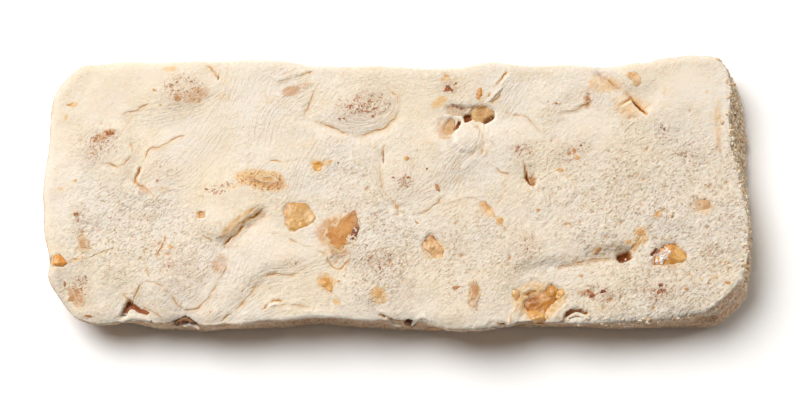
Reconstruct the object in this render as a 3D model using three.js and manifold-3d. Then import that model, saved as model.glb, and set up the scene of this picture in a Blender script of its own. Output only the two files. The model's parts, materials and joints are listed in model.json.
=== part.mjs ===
// A nougat bar: one hand-pulled slab of aerated nougat, with roasted nut and amber brittle pressed into it.
// Millimetres. X runs along the bar, Y across it and Z up. The origin is under the middle of the bar, on the
// surface that it rests on. The slab is shaped in its own frame, and the whole is centred at the end.
import * as THREE from "three";
import { mergeVertices } from "three/addons/utils/BufferGeometryUtils.js";
import Module from "manifold-3d";

const wasm = await Module();
wasm.setup();

// Driving sizes of the slab
const HALF_LENGTH = 71;
const HALF_WIDTH = 26.3;
const HEIGHT = 11.4; // of the plain slab, which its swellings top by up to 1.8
const CORNER = 8; // plan radius of the four corners
const TOP_ROUND = 2.1; // radius over the top edge
const FOOT_ROUND = 2; // radius under the foot
const FOOT_TRIM = 0.4; // what is cut off below to leave a flat foot
const CELL = 2.1; // spacing of the slab's mesh
const WALL_CELLS = 5;

// Pieces in the slab
const GAP = 0.3; // clearance between a piece and its pocket
const SHOWN_FLAT = 0.6; // the side that shows is flat, this far out between a piece's middle and its end
const LARGE_PIECE = 6.8; // pieces over this length get the finer mesh

// The two long edges wander by this much, as [x, offset in y].
const BACK_EDGE = [
  [-71, 0.8], [-58, 0.9], [-38, 1.4], [-23, 1.3], [-16.5, 0.3], [0, 0.1], [10.5, -0.4], [16.5, 0.1],
  [25.5, 0.4], [31.5, 0.6], [43, 0.2], [49.5, 0.7], [55.5, 2.4], [59, 2.6], [63, 2], [71, 1.8],
];
const FRONT_EDGE = [
  [-71, 1.6], [-54, 2], [-44.5, 0.7], [-38.5, 0], [-33.5, 0.3], [-24, 0.1], [-16, 0.7], [0, 0.1],
  [10, 0.1], [20.5, 0.8], [31, 0.5], [40.5, 0.6], [50.5, 0.3], [71, 0.6],
];

// Where the soft slab was pushed in or drawn out: at a point, within a reach, by an amount.
const PUSHES = [
  { at: [-68.7, -24, 6], reach: [7, 7, 20], by: [2.1, 2.1, 0] }, // front left corner, cut short
  { at: [-68.7, 24, 6], reach: [7, 7, 20], by: [1.9, -0.7, 0] }, // back left corner
  { at: [68.7, 24, 6], reach: [6, 6, 20], by: [-0.6, 1.3, 0] }, // back right corner, drawn out
  { at: [68.7, -24, 12], reach: [9, 7, 6], by: [-3.6, 2.2, 0] }, // front right corner, its skin set back
  { at: [67.5, -23.5, 2], reach: [6, 6, 5], by: [-1.7, 0.8, 0] },
  { at: [71, 13, 12], reach: [6, 13, 6], by: [-3.9, 0, -0.3] }, // right end, leaning in at the top
  { at: [71, -8, 12], reach: [5, 11, 6], by: [-0.5, 0, 0] },
  { at: [-71, 15, 8], reach: [8, 10, 20], by: [0.4, 0, 0] }, // left end, behind its middle
  { at: [-71, -15.5, 4], reach: [6, 5.5, 20], by: [1.6, 0, 0] },
  { at: [-46, -26, 3], reach: [11, 5, 5], by: [0, -0.8, 0] }, // foot, spread under the front
  { at: [-36, -26, 9], reach: [9, 5, 5], by: [0, -1.1, 0] }, // front lip, left of the middle
  { at: [-20, -26, 7], reach: [11, 4, 6], by: [0, 0.9, 0] }, // front wall, hollow
  { at: [16, -26, 9], reach: [10, 5, 5], by: [0, -0.5, 0] }, // front lip, right of the middle
  { at: [46, -26, 10], reach: [12, 5, 5], by: [0, 0, -0.2] },
  { at: [5, -27, 11], reach: [50, 6, 5], by: [0, -0.8, 0] }, // top of the front, standing out over its foot
  { at: [25, -27, 10.5], reach: [17, 5, 4], by: [0, -1.1, 0] }, // and further out in its right half
  { at: [-60, -27, 11], reach: [8, 6, 6], by: [0, -2.2, -1.6] }, // front left, rolled out over its foot
  { at: [-66, -22, 11], reach: [5, 6, 6], by: [-1.2, -1, -1.2] },
  { at: [-49, -27, 11], reach: [7, 6, 6], by: [0, -1.4, -0.6] },
  { at: [19, 26, 10], reach: [3.6, 5, 5], by: [0, 0.9, 0.4] }, // knob on the back edge
];

// Swellings over buried nuts and under pulled lobes: centre, half length, half width, turn in degrees, rise.
const SWELLINGS = [
  [-43, 19.5, 8, 5, -15, 0.56],
  [-60, 9.5, 6, 5, 40, 0.48],
  [-60, 20, 9, 5, 20, 0.4],
  [-49, 2.5, 5.5, 5, -30, 0.64],
  [-33.5, -3.2, 8.5, 4.6, 38, 0.95],
  [-24.5, -14.5, 10, 5.5, -42, 0.88],
  [-44, -17.7, 6.5, 5.5, 0, 0.72],
  [-31, 16, 9, 6, 20, 0.4],
  [-8.5, 17, 7.5, 6, 0, 0.8],
  [1.5, 3, 5, 7.5, -12, 0.72],
  [-5.5, -20, 6.5, 5, 0, 0.72],
  [12, 8.5, 4.5, 6, 25, 0.64],
  [24, 10, 5.5, 5, 0, 0.56],
  [33.5, 19.5, 7, 4.5, 0, 0.64],
  [15, -20.5, 6.5, 5, 0, 0.72],
  [47.5, 22, 4.5, 4, 0, 0.64],
  [60, 19, 10, 7, 0, 0.48],
  [56, -20.5, 8, 4.5, 0, 0.56],
  [34, -9, 10, 6, 15, 0.32],
];

// Folds, where one lobe of the pulled nougat closed against the next. Left of the path, looking along it,
// the nougat stands higher by lift, and the crease between is depth deep.
const FOLDS = [
  { path: [[-25.8, -2.8], [-29.4, -6.4], [-32, -8.8], [-36, -12]],
    depth: 0.5, width: 1.4, lift: -1, reach: 3.4 },
  { path: [[-37.5, -27], [-31.6, -23.4], [-28.6, -19.6], [-24.5, -17], [-15, -15.6]],
    depth: 0.3, width: 1.6, lift: 0.35, reach: 4 },
  { path: [[-56, 15.5], [-52.6, 11.5], [-51.8, 7], [-53, 2.5], [-49.5, -0.8]],
    depth: 0.5, width: 1.5, lift: -0.4, reach: 5 },
  { path: [[39.5, 25.5], [42.6, 23.2], [47.4, 19.2], [51, 14.8]],
    depth: 1, width: 1.2, lift: -0.4, reach: 4 },
  { path: [[21, -17], [32, -15.3], [38.5, -13.8], [44.5, -13]],
    depth: 0.45, width: 1.3, lift: 0.4, reach: 4 },
  { path: [[-18, 19], [-17.8, 14.6], [-12, 12.4], [-6.5, 11.2], [-1.6, 13.2], [1, 17]],
    depth: 0.35, width: 1.2, lift: -0.1, reach: 3 },
  { path: [[-2, 9.5], [-3.2, 5.6], [-2.6, 1.2], [-0.8, -2.6], [3.5, -5]],
    depth: 0.45, width: 1.2, lift: -0.1, reach: 3 },
];

// Open hollows and torn places: centre, reach along x, y and z, depth.
const HOLLOWS = [
  { at: [45.2, -13.6, 12], reach: [2.2, 1.8, 4], depth: 2.2 },
  { at: [14.2, 14.8, 12], reach: [5.5, 2.8, 4], depth: 1.8 },
  { at: [-51.8, -24, 10], reach: [4, 2.4, 4], depth: 1.2 },
  { at: [-41.8, -26, 8.5], reach: [2.8, 4, 2.8], depth: 1.8 },
  { at: [2.5, -26, 9], reach: [5, 4, 2.2], depth: 1.4 },
  { at: [28, -23.5, 12], reach: [5.5, 4, 4], depth: 1.3 },
  { at: [26.6, 2.8, 12], reach: [1.8, 2.2, 4], depth: 1.2 },
];

// The pieces that show, each named after what it is. Top ones sit at x and y and stand proud of the slab;
// the others are placed in a side.
const TOP_PIECES = [
  { name: "brittle_front_right", x: 54, y: -13.4, size: [7.6, 5.4, 4], turn: 8, proud: 0.5 },
  { name: "brittle_front_lip", x: 28.6, y: -22.9, size: [8.2, 7, 5], turn: 35, proud: 0.6 },
  { name: "brittle_beside_lip", x: 23.6, y: -21.8, size: [3, 3.2, 3], turn: 60, proud: 0.4 },
  { name: "brittle_round", x: -19.6, y: -5.4, size: [6.6, 5.6, 3.4], turn: 10, proud: 0.35 },
  { name: "brittle_middle", x: 7.2, y: -11.6, size: [5, 4.2, 3.6], turn: -35, proud: 0.45 },
  { name: "brittle_bead", x: -14, y: -18.8, size: [3.4, 3.6, 3.2], turn: 0, proud: 0.5 },
  { name: "brittle_left_end", x: -66.6, y: -14.2, size: [3.8, 3.4, 3.2], turn: 15, proud: 0.5 },
  { name: "brittle_sliver", x: 18.2, y: -4.3, size: [5.2, 2.3, 2.6], turn: -42, proud: 0.3 },
  { name: "brittle_back", x: 16.7, y: 20.3, size: [2.2, 3.2, 2.8], turn: -15, proud: 0.4 },
  { name: "brittle_left_of_middle", x: -16, y: 5, size: [3.8, 3.2, 3], turn: 20, proud: 0.3 },
  { name: "nut_tan_right", x: 61.2, y: -2.9, size: [5.4, 3.4, 3.4], turn: 5, proud: 0.35 },
  { name: "nut_front_middle", x: -11, y: -9.6, size: [11, 6, 4.6], turn: 62, proud: 0.5 },
  { name: "nut_streak", x: -26.4, y: 2.2, size: [9.4, 3.8, 3.6], turn: -8, proud: 0.3 },
  { name: "nut_back_right", x: 48.4, y: 22.8, size: [4.6, 5, 4], turn: -50, proud: 0.6 },
  { name: "nut_torn_out", x: 17.2, y: 16, size: [5.6, 4.4, 4], turn: 10, proud: 0.3 },
  { name: "nut_torn_beside", x: 10.4, y: 13.2, size: [3.2, 4.2, 3.6], turn: 20, proud: 0.3 },
  { name: "nut_front_tan", x: 15.2, y: -20.8, size: [3.2, 6.4, 3.4], turn: 0, proud: 0.3 },
  { name: "nut_left", x: -62.6, y: -10, size: [3, 6.4, 3.4], turn: 12, proud: 0.3 },
  { name: "nut_torn_front", x: -52.2, y: -24, size: [4.6, 2.4, 2.6], turn: -12, proud: 0.1 },
  { name: "nut_front_left", x: -62.4, y: -20.4, size: [3.4, 5, 3.2], turn: 30, proud: 0.3 },
];
const [FRONT, BACK, LEFT, RIGHT, UNDER] = [[0, -1, 0], [0, 1, 0], [-1, 0, 0], [1, 0, 0], [0, 0, -1]];
const SIDE_PIECES = [
  { name: "nut_slot_front", at: [35.3, -25.8, 9.3], out: FRONT, size: [3.6, 3.4, 2.6], turn: 10 },
  { name: "nut_front_edge", at: [7.8, -26.2, 5], out: FRONT, size: [5.4, 3.6, 3.4], turn: -5 },
  { name: "nut_cavity_front", at: [-42, -26.2, 8], out: FRONT, size: [4.6, 3.4, 3.6], turn: 6 },
  { name: "nut_hole_front", at: [2.6, -25.9, 7.4], out: FRONT, size: [2.6, 3.4, 3.2], turn: 0 },
  { name: "nut_back_side", at: [-27, 26.4, 6], out: BACK, size: [8.4, 4.6, 4.6], turn: 6 },
  { name: "brittle_back_side", at: [33, 25.8, 5.5], out: BACK, size: [5, 4.4, 4], turn: 0 },
  { name: "nut_left_side", at: [-70, 3, 5.6], out: LEFT, size: [4, 7, 4.2], turn: 8 },
  { name: "brittle_right_side", at: [70, -6, 5.4], out: RIGHT, size: [4, 4.6, 3.8], turn: -10 },
  { name: "nut_under_left", at: [-37, 7, 1.3], out: UNDER, size: [9.6, 5.4, 4], turn: 25 },
  { name: "brittle_under_right", at: [31, -8, 1.1], out: UNDER, size: [5.8, 4.8, 3.4], turn: -30 },
];

const nougat = new THREE.MeshStandardMaterial({ name: "nougat", color: 0xeee0c8, roughness: 0.75 });
const brittle = new THREE.MeshStandardMaterial({ name: "brittle", color: 0xd59a4e, roughness: 0.3 });
const nut = new THREE.MeshStandardMaterial({ name: "nut", color: 0xb98355, roughness: 0.55 });

// A value read along [position, value] knots, eased between them.
function along(knots, position) {
  const next = knots.findIndex(([at]) => at > position);
  if (next === 0) return knots[0][1];
  if (next < 0) return knots.at(-1)[1];
  const [from, before] = knots[next - 1];
  const [to, after] = knots[next];
  return THREE.MathUtils.lerp(before, after, THREE.MathUtils.smoothstep(position, from, to));
}

// A bell that is 1 at a point and fades out over a reach along each axis.
function bell(point, at, reach) {
  const [x, y, z] = ["x", "y", "z"].map((axis, i) => (point[axis] - at[i]) / reach[i]);
  return Math.exp(-(x * x + y * y + z * z));
}

// Slow waves over the whole slab, from a fan of directions a golden angle apart.
function waves(point) {
  const goldenAngle = 2.39996;
  let sum = 0;
  for (let i = 0; i < 8; i++) {
    const turn = (2 * Math.PI) / (34 / (1 + 0.42 * i));
    const angle = goldenAngle * i;
    const phase = 1.7 * i + 0.05 * point.z * i;
    sum += Math.sin(turn * (point.x * Math.cos(angle) + point.y * Math.sin(angle)) + phase) / (1 + 0.35 * i);
  }
  return 0.16 * sum;
}

function swelling(point, [x, y, halfLength, halfWidth, turn, rise]) {
  const angle = THREE.MathUtils.degToRad(turn);
  const dx = point.x - x;
  const dy = point.y - y;
  const u = (dx * Math.cos(angle) + dy * Math.sin(angle)) / halfLength;
  const v = (dy * Math.cos(angle) - dx * Math.sin(angle)) / halfWidth;
  return rise * Math.exp(-1.4 * (u * u + v * v));
}

// Distance to a fold's path, signed to its left, and how far the nearest point is from the path's ends
// (0 to 1).
function beside(point, path) {
  let best = { distance: Infinity, side: 1, t: 0 };
  for (let i = 0; i + 1 < path.length; i++) {
    const [ax, ay] = path[i];
    const [bx, by] = path[i + 1];
    const [ex, ey] = [bx - ax, by - ay];
    const t = THREE.MathUtils.clamp(((point.x - ax) * ex + (point.y - ay) * ey) / (ex * ex + ey * ey), 0, 1);
    const [dx, dy] = [point.x - ax - t * ex, point.y - ay - t * ey];
    const distance = Math.hypot(dx, dy);
    if (distance < best.distance) best = { distance, side: Math.sign(ex * dy - ey * dx) || 1, t: i + t };
  }
  const ends = Math.min(best.t, path.length - 1 - best.t);
  return { signed: best.side * best.distance, inner: THREE.MathUtils.smoothstep(ends, 0, 0.5) };
}

function fold(point, { path, depth, width, lift, reach }) {
  const { signed, inner } = beside(point, path);
  const crease = -depth * Math.exp(-((signed / width) ** 2));
  const step = lift * Math.tanh(signed / width) * Math.exp(-((signed / reach) ** 2));
  return inner * (crease + step);
}

// How far the surface stands out from the plain slab at a point; up is 1 on the top and 0 on a wall.
function relief(point, up) {
  let out = waves(point);
  for (const shape of SWELLINGS) out += up * swelling(point, shape);
  for (const shape of FOLDS) out += up * fold(point, shape);
  for (const { at, reach, depth } of HOLLOWS) out -= depth * bell(point, at, reach);
  return out;
}

// Shapes the plain slab: the edges wander, the pushes move it and the relief stands out along the normal.
function knead(point, normal) {
  const across = point.y / HALF_WIDTH;
  const wander = across > 0 ? along(BACK_EDGE, point.x) : along(FRONT_EDGE, point.x);
  const moved = point.clone();
  moved.y += wander * Math.abs(across);
  for (const { at, reach, by } of PUSHES) {
    moved.addScaledVector(new THREE.Vector3(...by), bell(point, at, reach));
  }
  const up = Math.max(0, normal.z);
  const foot = THREE.MathUtils.smoothstep(point.z, 0, 3);
  return moved.addScaledVector(normal, foot * relief(point, up));
}

// The slab: a gridded box whose faces are wrapped over rounded edges and corners, then kneaded.
function slabGeometry() {
  const topArc = (Math.PI / 2) * TOP_ROUND;
  const footArc = (Math.PI / 2) * FOOT_ROUND;
  const grow = topArc - TOP_ROUND; // how much longer the top is when its rounded edge is laid flat
  const flatLength = 2 * (HALF_LENGTH + grow);
  const flatWidth = 2 * (HALF_WIDTH + grow);
  const [columns, rows] = [Math.round(flatLength / CELL), Math.round(flatWidth / CELL)];
  const box = new THREE.BoxGeometry(flatLength, flatWidth, 1, columns, rows, WALL_CELLS);
  box.deleteAttribute("normal");
  box.deleteAttribute("uv");
  const geometry = mergeVertices(box, 1e-4);
  const position = geometry.getAttribute("position");
  const flatCorner = CORNER + grow;
  const point = new THREE.Vector3();
  for (let i = 0; i < position.count; i++) {
    point.fromBufferAttribute(position, i);
    const core = new THREE.Vector2(
      THREE.MathUtils.clamp(point.x, CORNER - HALF_LENGTH, HALF_LENGTH - CORNER),
      THREE.MathUtils.clamp(point.y, CORNER - HALF_WIDTH, HALF_WIDTH - CORNER),
    );
    // Past the core a square corner of the grid becomes a quarter disc.
    const s = (point.x - core.x) / flatCorner;
    const t = (point.y - core.y) / flatCorner;
    const ray = new THREE.Vector2(s * Math.sqrt(1 - (t * t) / 2), t * Math.sqrt(1 - (s * s) / 2));
    const out = ray.length(); // 1 on the outline
    const outward = out > 0 ? ray.divideScalar(out) : ray;
    const onTop = point.z > 0.499;
    const under = point.z < -0.499;
    const arc = onTop ? topArc : footArc;
    const round = onTop ? TOP_ROUND : FOOT_ROUND;
    const inset = (1 - out) * (CORNER - round + arc);
    const angle = onTop || under ? Math.min(inset / round, Math.PI / 2) : 0;
    const back = round * (1 - Math.cos(angle)) + Math.max(0, inset - arc);
    const lift = round * Math.sin(angle);
    const wall = THREE.MathUtils.mapLinear(point.z, -0.5, 0.5, FOOT_ROUND - FOOT_TRIM, HEIGHT - TOP_ROUND);
    const z = wall + (under ? -lift : onTop ? lift : 0);
    const radius = CORNER - (onTop || under ? back : 0);
    const normalZ = Math.sin(angle) * (under ? -1 : 1);
    const plain = new THREE.Vector3(core.x + outward.x * radius, core.y + outward.y * radius, z);
    const normal = new THREE.Vector3(outward.x * Math.cos(angle), outward.y * Math.cos(angle), normalZ);
    position.setXYZ(i, ...knead(plain, normal));
  }
  return geometry;
}

function seededRandom(seed) {
  let state = seed;
  return () => {
    state = (Math.imul(state, 1664525) + 1013904223) >>> 0;
    return state / 4294967296;
  };
}

// A piece of nut or brittle: a ball with flats broken off it, one of them on the side that shows. Brittle
// breaks into more and flatter faces.
function chunkGeometry(size, kind, out, seed) {
  const random = seededRandom(seed);
  const breaks = Array.from({ length: kind === "brittle" ? 9 : 4 }, () => {
    const z = 2 * random() - 1;
    const angle = 2 * Math.PI * random();
    const flat = Math.sqrt(1 - z * z);
    const normal = new THREE.Vector3(flat * Math.cos(angle), flat * Math.sin(angle), z);
    return { normal, reach: 0.7 + 0.25 * random() };
  });
  breaks.push({ normal: new THREE.Vector3(...out), reach: SHOWN_FLAT });
  const ball = new THREE.IcosahedronGeometry(1, Math.max(...size) > LARGE_PIECE ? 2 : 1);
  ball.deleteAttribute("normal");
  ball.deleteAttribute("uv");
  const geometry = mergeVertices(ball, 1e-4);
  const position = geometry.getAttribute("position");
  const direction = new THREE.Vector3();
  for (let i = 0; i < position.count; i++) {
    direction.fromBufferAttribute(position, i).normalize();
    const limits = breaks.map(({ normal, reach }) => {
      const facing = direction.dot(normal);
      return facing > 0 ? reach / facing : 1;
    });
    position.setXYZ(i, ...direction.multiplyScalar(Math.min(1, ...limits)));
  }
  return geometry.scale(size[0] / 2, size[1] / 2, size[2] / 2);
}

// The height of the kneaded top over a point of the plan.
function topAt(x, y) {
  return knead(new THREE.Vector3(x, y, HEIGHT), new THREE.Vector3(0, 0, 1)).z;
}

function pieceMesh({ name, size, turn, out = [0, 0, 1] }, centre, seed) {
  const kind = name.split("_")[0];
  const mesh = new THREE.Mesh(chunkGeometry(size, kind, out, seed), kind === "brittle" ? brittle : nut);
  mesh.name = name;
  mesh.position.set(...centre);
  mesh.rotation.z = THREE.MathUtils.degToRad(turn);
  mesh.updateMatrix();
  return mesh;
}

function solidOf(geometry, matrix = new THREE.Matrix4()) {
  const placed = geometry.clone().applyMatrix4(matrix);
  const vertProperties = new Float32Array(placed.getAttribute("position").array);
  const triVerts = new Uint32Array(placed.index.array);
  return new wasm.Manifold(new wasm.Mesh({ numProp: 3, vertProperties, triVerts }));
}

function geometryOf(solid) {
  const mesh = solid.getMesh();
  const geometry = new THREE.BufferGeometry();
  geometry.setAttribute("position", new THREE.BufferAttribute(new Float32Array(mesh.vertProperties), 3));
  geometry.setIndex(new THREE.BufferAttribute(new Uint32Array(mesh.triVerts), 1));
  geometry.computeVertexNormals();
  return geometry;
}

// The room that a piece needs: the piece itself, larger by the gap all round.
function pocketSolid(mesh, size) {
  const larger = size.map((side) => 1 + (2 * GAP) / side);
  return solidOf(mesh.geometry, mesh.matrix.clone().scale(new THREE.Vector3(...larger)));
}

function boxSolid(size, centre) {
  const box = new THREE.BoxGeometry(...size).translate(...centre);
  box.deleteAttribute("normal");
  box.deleteAttribute("uv");
  return solidOf(mergeVertices(box, 1e-4));
}

const pieces = [
  ...TOP_PIECES.map((piece, i) => {
    const z = topAt(piece.x, piece.y) + piece.proud - (SHOWN_FLAT * piece.size[2]) / 2;
    return { piece, mesh: pieceMesh(piece, [piece.x, piece.y, z], i + 1) };
  }),
  ...SIDE_PIECES.map((piece, i) => ({ piece, mesh: pieceMesh(piece, piece.at, i + 101) })),
];

const below = boxSolid([4 * HALF_LENGTH, 4 * HALF_WIDTH, HEIGHT], [0, 0, -HEIGHT / 2]);
const slab = pieces.reduce(
  (solid, { piece, mesh }) => solid.subtract(pocketSolid(mesh, piece.size)),
  solidOf(slabGeometry()).subtract(below),
);
const body = new THREE.Mesh(geometryOf(slab), nougat);
body.name = "nougat";

const bar = new THREE.Group();
bar.name = "nougat_bar";
bar.add(body, ...pieces.map(({ mesh }) => mesh));
const centre = new THREE.Box3().setFromObject(bar).getCenter(new THREE.Vector3());
bar.position.set(-centre.x, -centre.y, 0);

export default bar;
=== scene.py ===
import json
import math

import bpy
import numpy as np
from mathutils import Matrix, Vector
from mathutils.bvhtree import BVHTree
from mathutils.geometry import delaunay_2d_cdt

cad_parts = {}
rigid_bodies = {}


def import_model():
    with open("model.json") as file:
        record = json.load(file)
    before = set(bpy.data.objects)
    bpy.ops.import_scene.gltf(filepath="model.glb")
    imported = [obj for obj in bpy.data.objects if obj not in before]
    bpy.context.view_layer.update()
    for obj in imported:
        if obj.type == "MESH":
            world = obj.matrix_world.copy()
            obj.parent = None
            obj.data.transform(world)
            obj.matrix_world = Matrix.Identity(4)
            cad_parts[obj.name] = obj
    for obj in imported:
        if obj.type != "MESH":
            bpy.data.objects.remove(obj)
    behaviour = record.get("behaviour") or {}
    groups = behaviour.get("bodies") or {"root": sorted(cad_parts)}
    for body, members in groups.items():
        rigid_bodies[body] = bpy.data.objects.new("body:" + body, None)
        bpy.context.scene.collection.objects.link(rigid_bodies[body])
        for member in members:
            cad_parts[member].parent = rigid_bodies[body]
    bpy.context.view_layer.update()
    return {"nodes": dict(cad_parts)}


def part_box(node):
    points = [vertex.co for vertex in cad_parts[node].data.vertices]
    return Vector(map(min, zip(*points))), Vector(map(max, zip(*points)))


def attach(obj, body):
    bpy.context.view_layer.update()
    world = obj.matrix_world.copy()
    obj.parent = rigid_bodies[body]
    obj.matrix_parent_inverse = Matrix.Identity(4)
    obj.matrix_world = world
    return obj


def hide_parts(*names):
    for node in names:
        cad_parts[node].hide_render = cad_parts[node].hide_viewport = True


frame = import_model()
print("frame loaded")

mm = 0.001  # shapes are worked out in millimetres and made in metres

# ---- noise on arrays of points


def hashed(cells, seed):
    # a steady random number from 0 to 1 for each row of whole numbers
    mixed = np.full(len(cells), seed * 7919 + 17, dtype=np.uint64)
    for column in cells.T:
        mixed = (mixed ^ column.astype(np.uint64)) * np.uint64(0x9E3779B97F4A7C15)
        mixed ^= mixed >> np.uint64(29)
    return (mixed >> np.uint64(40)).astype(float) / 2**24


octaveShift = 31.7  # keeps the corners of two octaves apart


def rough(points, size, seed, octaves=1):
    # smooth noise from about -1 to 1 with features of that size
    total, gain, weight = 0, 1, 0
    for octave in range(octaves):
        spot = points / np.array(size) * 2**octave + octaveShift * octave
        cell = np.floor(spot).astype(np.int64)
        part = spot - cell
        part = part * part * (3 - 2 * part)
        for corner in np.ndindex(*(2,) * points.shape[1]):
            share = np.prod(np.where(corner, part, 1 - part), axis=1)
            total = total + gain * share * (2 * hashed(cell + corner, seed + octave) - 1)
        weight += gain
        gain /= 2
    return total / weight


def rise(value, low, high):
    # eases from 0 at low to 1 at high
    part = np.clip((value - low) / (high - low), 0, 1)
    return part * part * (3 - 2 * part)


# ---- the slab: the same plain form as the solid, with its folds, pits and grain

slab = {
    "halfLength": 71, "halfWidth": 26.3, "height": 11.4, "corner": 8,
    "topRound": 2.1, "footRound": 2, "footTrim": 0.4, "reliefFrom": 3, "grainFrom": 0.8,
    "cell": 0.36, "wallCell": 0.44, "floorCell": 1.6, "floorReach": (70, 25), "floorInset": 1.2,
}

# the long edges wander by this much: x, offset in y
backEdge = [(-71, 0.8), (-58, 0.9), (-38, 1.4), (-23, 1.3), (-16.5, 0.3), (0, 0.1), (10.5, -0.4),
            (16.5, 0.1), (25.5, 0.4), (31.5, 0.6), (43, 0.2), (49.5, 0.7), (55.5, 2.4), (59, 2.6), (63, 2),
            (71, 1.8)]
frontEdge = [(-71, 1.6), (-54, 2), (-44.5, 0.7), (-38.5, 0), (-33.5, 0.3), (-24, 0.1), (-16, 0.7), (0, 0.1),
             (10, 0.1), (20.5, 0.8), (31, 0.5), (40.5, 0.6), (50.5, 0.3), (71, 0.6)]

# where the soft slab was pushed in or drawn out: at, reach, by
pushes = [
    ((-68.7, -24, 6), (7, 7, 20), (2.1, 2.1, 0)),
    ((-68.7, 24, 6), (7, 7, 20), (1.9, -0.7, 0)),
    ((68.7, 24, 6), (6, 6, 20), (-0.6, 1.3, 0)),
    ((68.7, -24, 12), (9, 7, 6), (-3.6, 2.2, 0)),
    ((67.5, -23.5, 2), (6, 6, 5), (-1.7, 0.8, 0)),
    ((71, 13, 12), (6, 13, 6), (-3.9, 0, -0.3)),
    ((71, -8, 12), (5, 11, 6), (-0.5, 0, 0)),
    ((-71, 15, 8), (8, 10, 20), (0.4, 0, 0)),
    ((-71, -15.5, 4), (6, 5.5, 20), (1.6, 0, 0)),
    ((-46, -26, 3), (11, 5, 5), (0, -0.8, 0)),
    ((-36, -26, 9), (9, 5, 5), (0, -1.1, 0)),
    ((-20, -26, 7), (11, 4, 6), (0, 0.9, 0)),
    ((16, -26, 9), (10, 5, 5), (0, -0.5, 0)),
    ((46, -26, 10), (12, 5, 5), (0, 0, -0.2)),
    ((5, -27, 11), (50, 6, 5), (0, -0.8, 0)),
    ((25, -27, 10.5), (17, 5, 4), (0, -1.1, 0)),
    ((-60, -27, 11), (8, 6, 6), (0, -2.2, -1.6)),
    ((-66, -22, 11), (5, 6, 6), (-1.2, -1, -1.2)),
    ((-49, -27, 11), (7, 6, 6), (0, -1.4, -0.6)),
    ((19, 26, 10), (3.6, 5, 5), (0, 0.9, 0.4)),
]

swellingFall = 1.4  # how steeply a swelling falls off
# swellings over buried nuts and pulled lobes: x, y, half length, half width, turn in degrees, rise
swellings = [
    (-43, 19.5, 8, 5, -15, 0.56), (-60, 9.5, 6, 5, 40, 0.48), (-60, 20, 9, 5, 20, 0.4),
    (-49, 2.5, 5.5, 5, -30, 0.64), (-33.5, -3.2, 8.5, 4.6, 38, 0.95), (-24.5, -14.5, 10, 5.5, -42, 0.88),
    (-44, -17.7, 6.5, 5.5, 0, 0.72), (-31, 16, 9, 6, 20, 0.4), (-8.5, 17, 7.5, 6, 0, 0.8),
    (1.5, 3, 5, 7.5, -12, 0.72), (-5.5, -20, 6.5, 5, 0, 0.72), (12, 8.5, 4.5, 6, 25, 0.64),
    (24, 10, 5.5, 5, 0, 0.56), (33.5, 19.5, 7, 4.5, 0, 0.64), (15, -20.5, 6.5, 5, 0, 0.72),
    (47.5, 22, 4.5, 4, 0, 0.64), (60, 19, 10, 7, 0, 0.48), (56, -20.5, 8, 4.5, 0, 0.56),
    (34, -9, 10, 6, 15, 0.32),
]

# wide folds of the solid: depth, width, lift of the left side, reach, path
folds = [
    (0.5, 1.4, -1, 3.4, [(-25.8, -2.8), (-29.4, -6.4), (-32, -8.8), (-36, -12)]),
    (0.3, 1.6, 0.35, 4, [(-37.5, -27), (-31.6, -23.4), (-28.6, -19.6), (-24.5, -17), (-15, -15.6)]),
    (0.5, 1.5, -0.4, 5, [(-56, 15.5), (-52.6, 11.5), (-51.8, 7), (-53, 2.5), (-49.5, -0.8)]),
    (1, 1.2, -0.4, 4, [(39.5, 25.5), (42.6, 23.2), (47.4, 19.2), (51, 14.8)]),
    (0.45, 1.3, 0.4, 4, [(21, -17), (32, -15.3), (38.5, -13.8), (44.5, -13)]),
    (0.35, 1.2, -0.1, 3, [(-18, 19), (-17.8, 14.6), (-12, 12.4), (-6.5, 11.2), (-1.6, 13.2), (1, 17)]),
    (0.45, 1.2, -0.1, 3, [(-2, 9.5), (-3.2, 5.6), (-2.6, 1.2), (-0.8, -2.6), (3.5, -5)]),
]

# open hollows and torn places: at, reach, depth
hollows = [
    ((45.2, -13.6, 12), (2.2, 1.8, 4), 2.2),
    ((14.2, 14.8, 12), (5.5, 2.8, 4), 1.8),
    ((-51.8, -24, 10), (4, 2.4, 4), 1.2),
    ((-41.8, -26, 8.5), (2.8, 4, 2.8), 1.8),
    ((2.5, -26, 9), (5, 4, 2.2), 1.4),
    ((28, -23.5, 12), (5.5, 4, 4), 1.3),
    ((26.6, 2.8, 12), (1.8, 2.2, 4), 1.2),
]
# small lobes with a crisp edge: x, y, half length, half width, turn, height, how soft the edge is
lobes = [
    (14.1, 11, 2.9, 3.5, 15, 0.55, 0.2), (23.3, -25, 3.4, 1, 62, 0.5, 0.5),
    (32.7, -24.4, 3.6, 1.5, 36, 0.7, 0.5), (-17.5, -26.2, 6.5, 1.5, 2, 0.4, 0.5),
    (-51.9, -26.7, 3, 1.1, -2, 0.6, 0.35), (35.4, -26.1, 1.5, 0.6, 0, 0.4, 0.4),
    (-44.6, -20.6, 5.2, 3, -18, 0.15, 0.3), (-0.4, -22.4, 3.6, 2.6, 10, 0.15, 0.3),
    (33.4, -0.6, 2.3, 3, -10, 0.1, 0.2), (8.5, 6.5, 3.4, 5.4, 25, 0.12, 0.3),
    (-57, -19, 3.6, 2.6, 35, 0.15, 0.3),
]


def eased(knots, x):
    at, level = np.array(knots, dtype=float).T
    i = np.clip(np.searchsorted(at, x, side="right") - 1, 0, len(at) - 2)
    part = np.clip((x - at[i]) / (at[i + 1] - at[i]), 0, 1)
    return level[i] + (level[i + 1] - level[i]) * part * part * (3 - 2 * part)


def bell(points, at, reach):
    return np.exp(-np.sum(((points - at) / reach) ** 2, axis=1))


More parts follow.
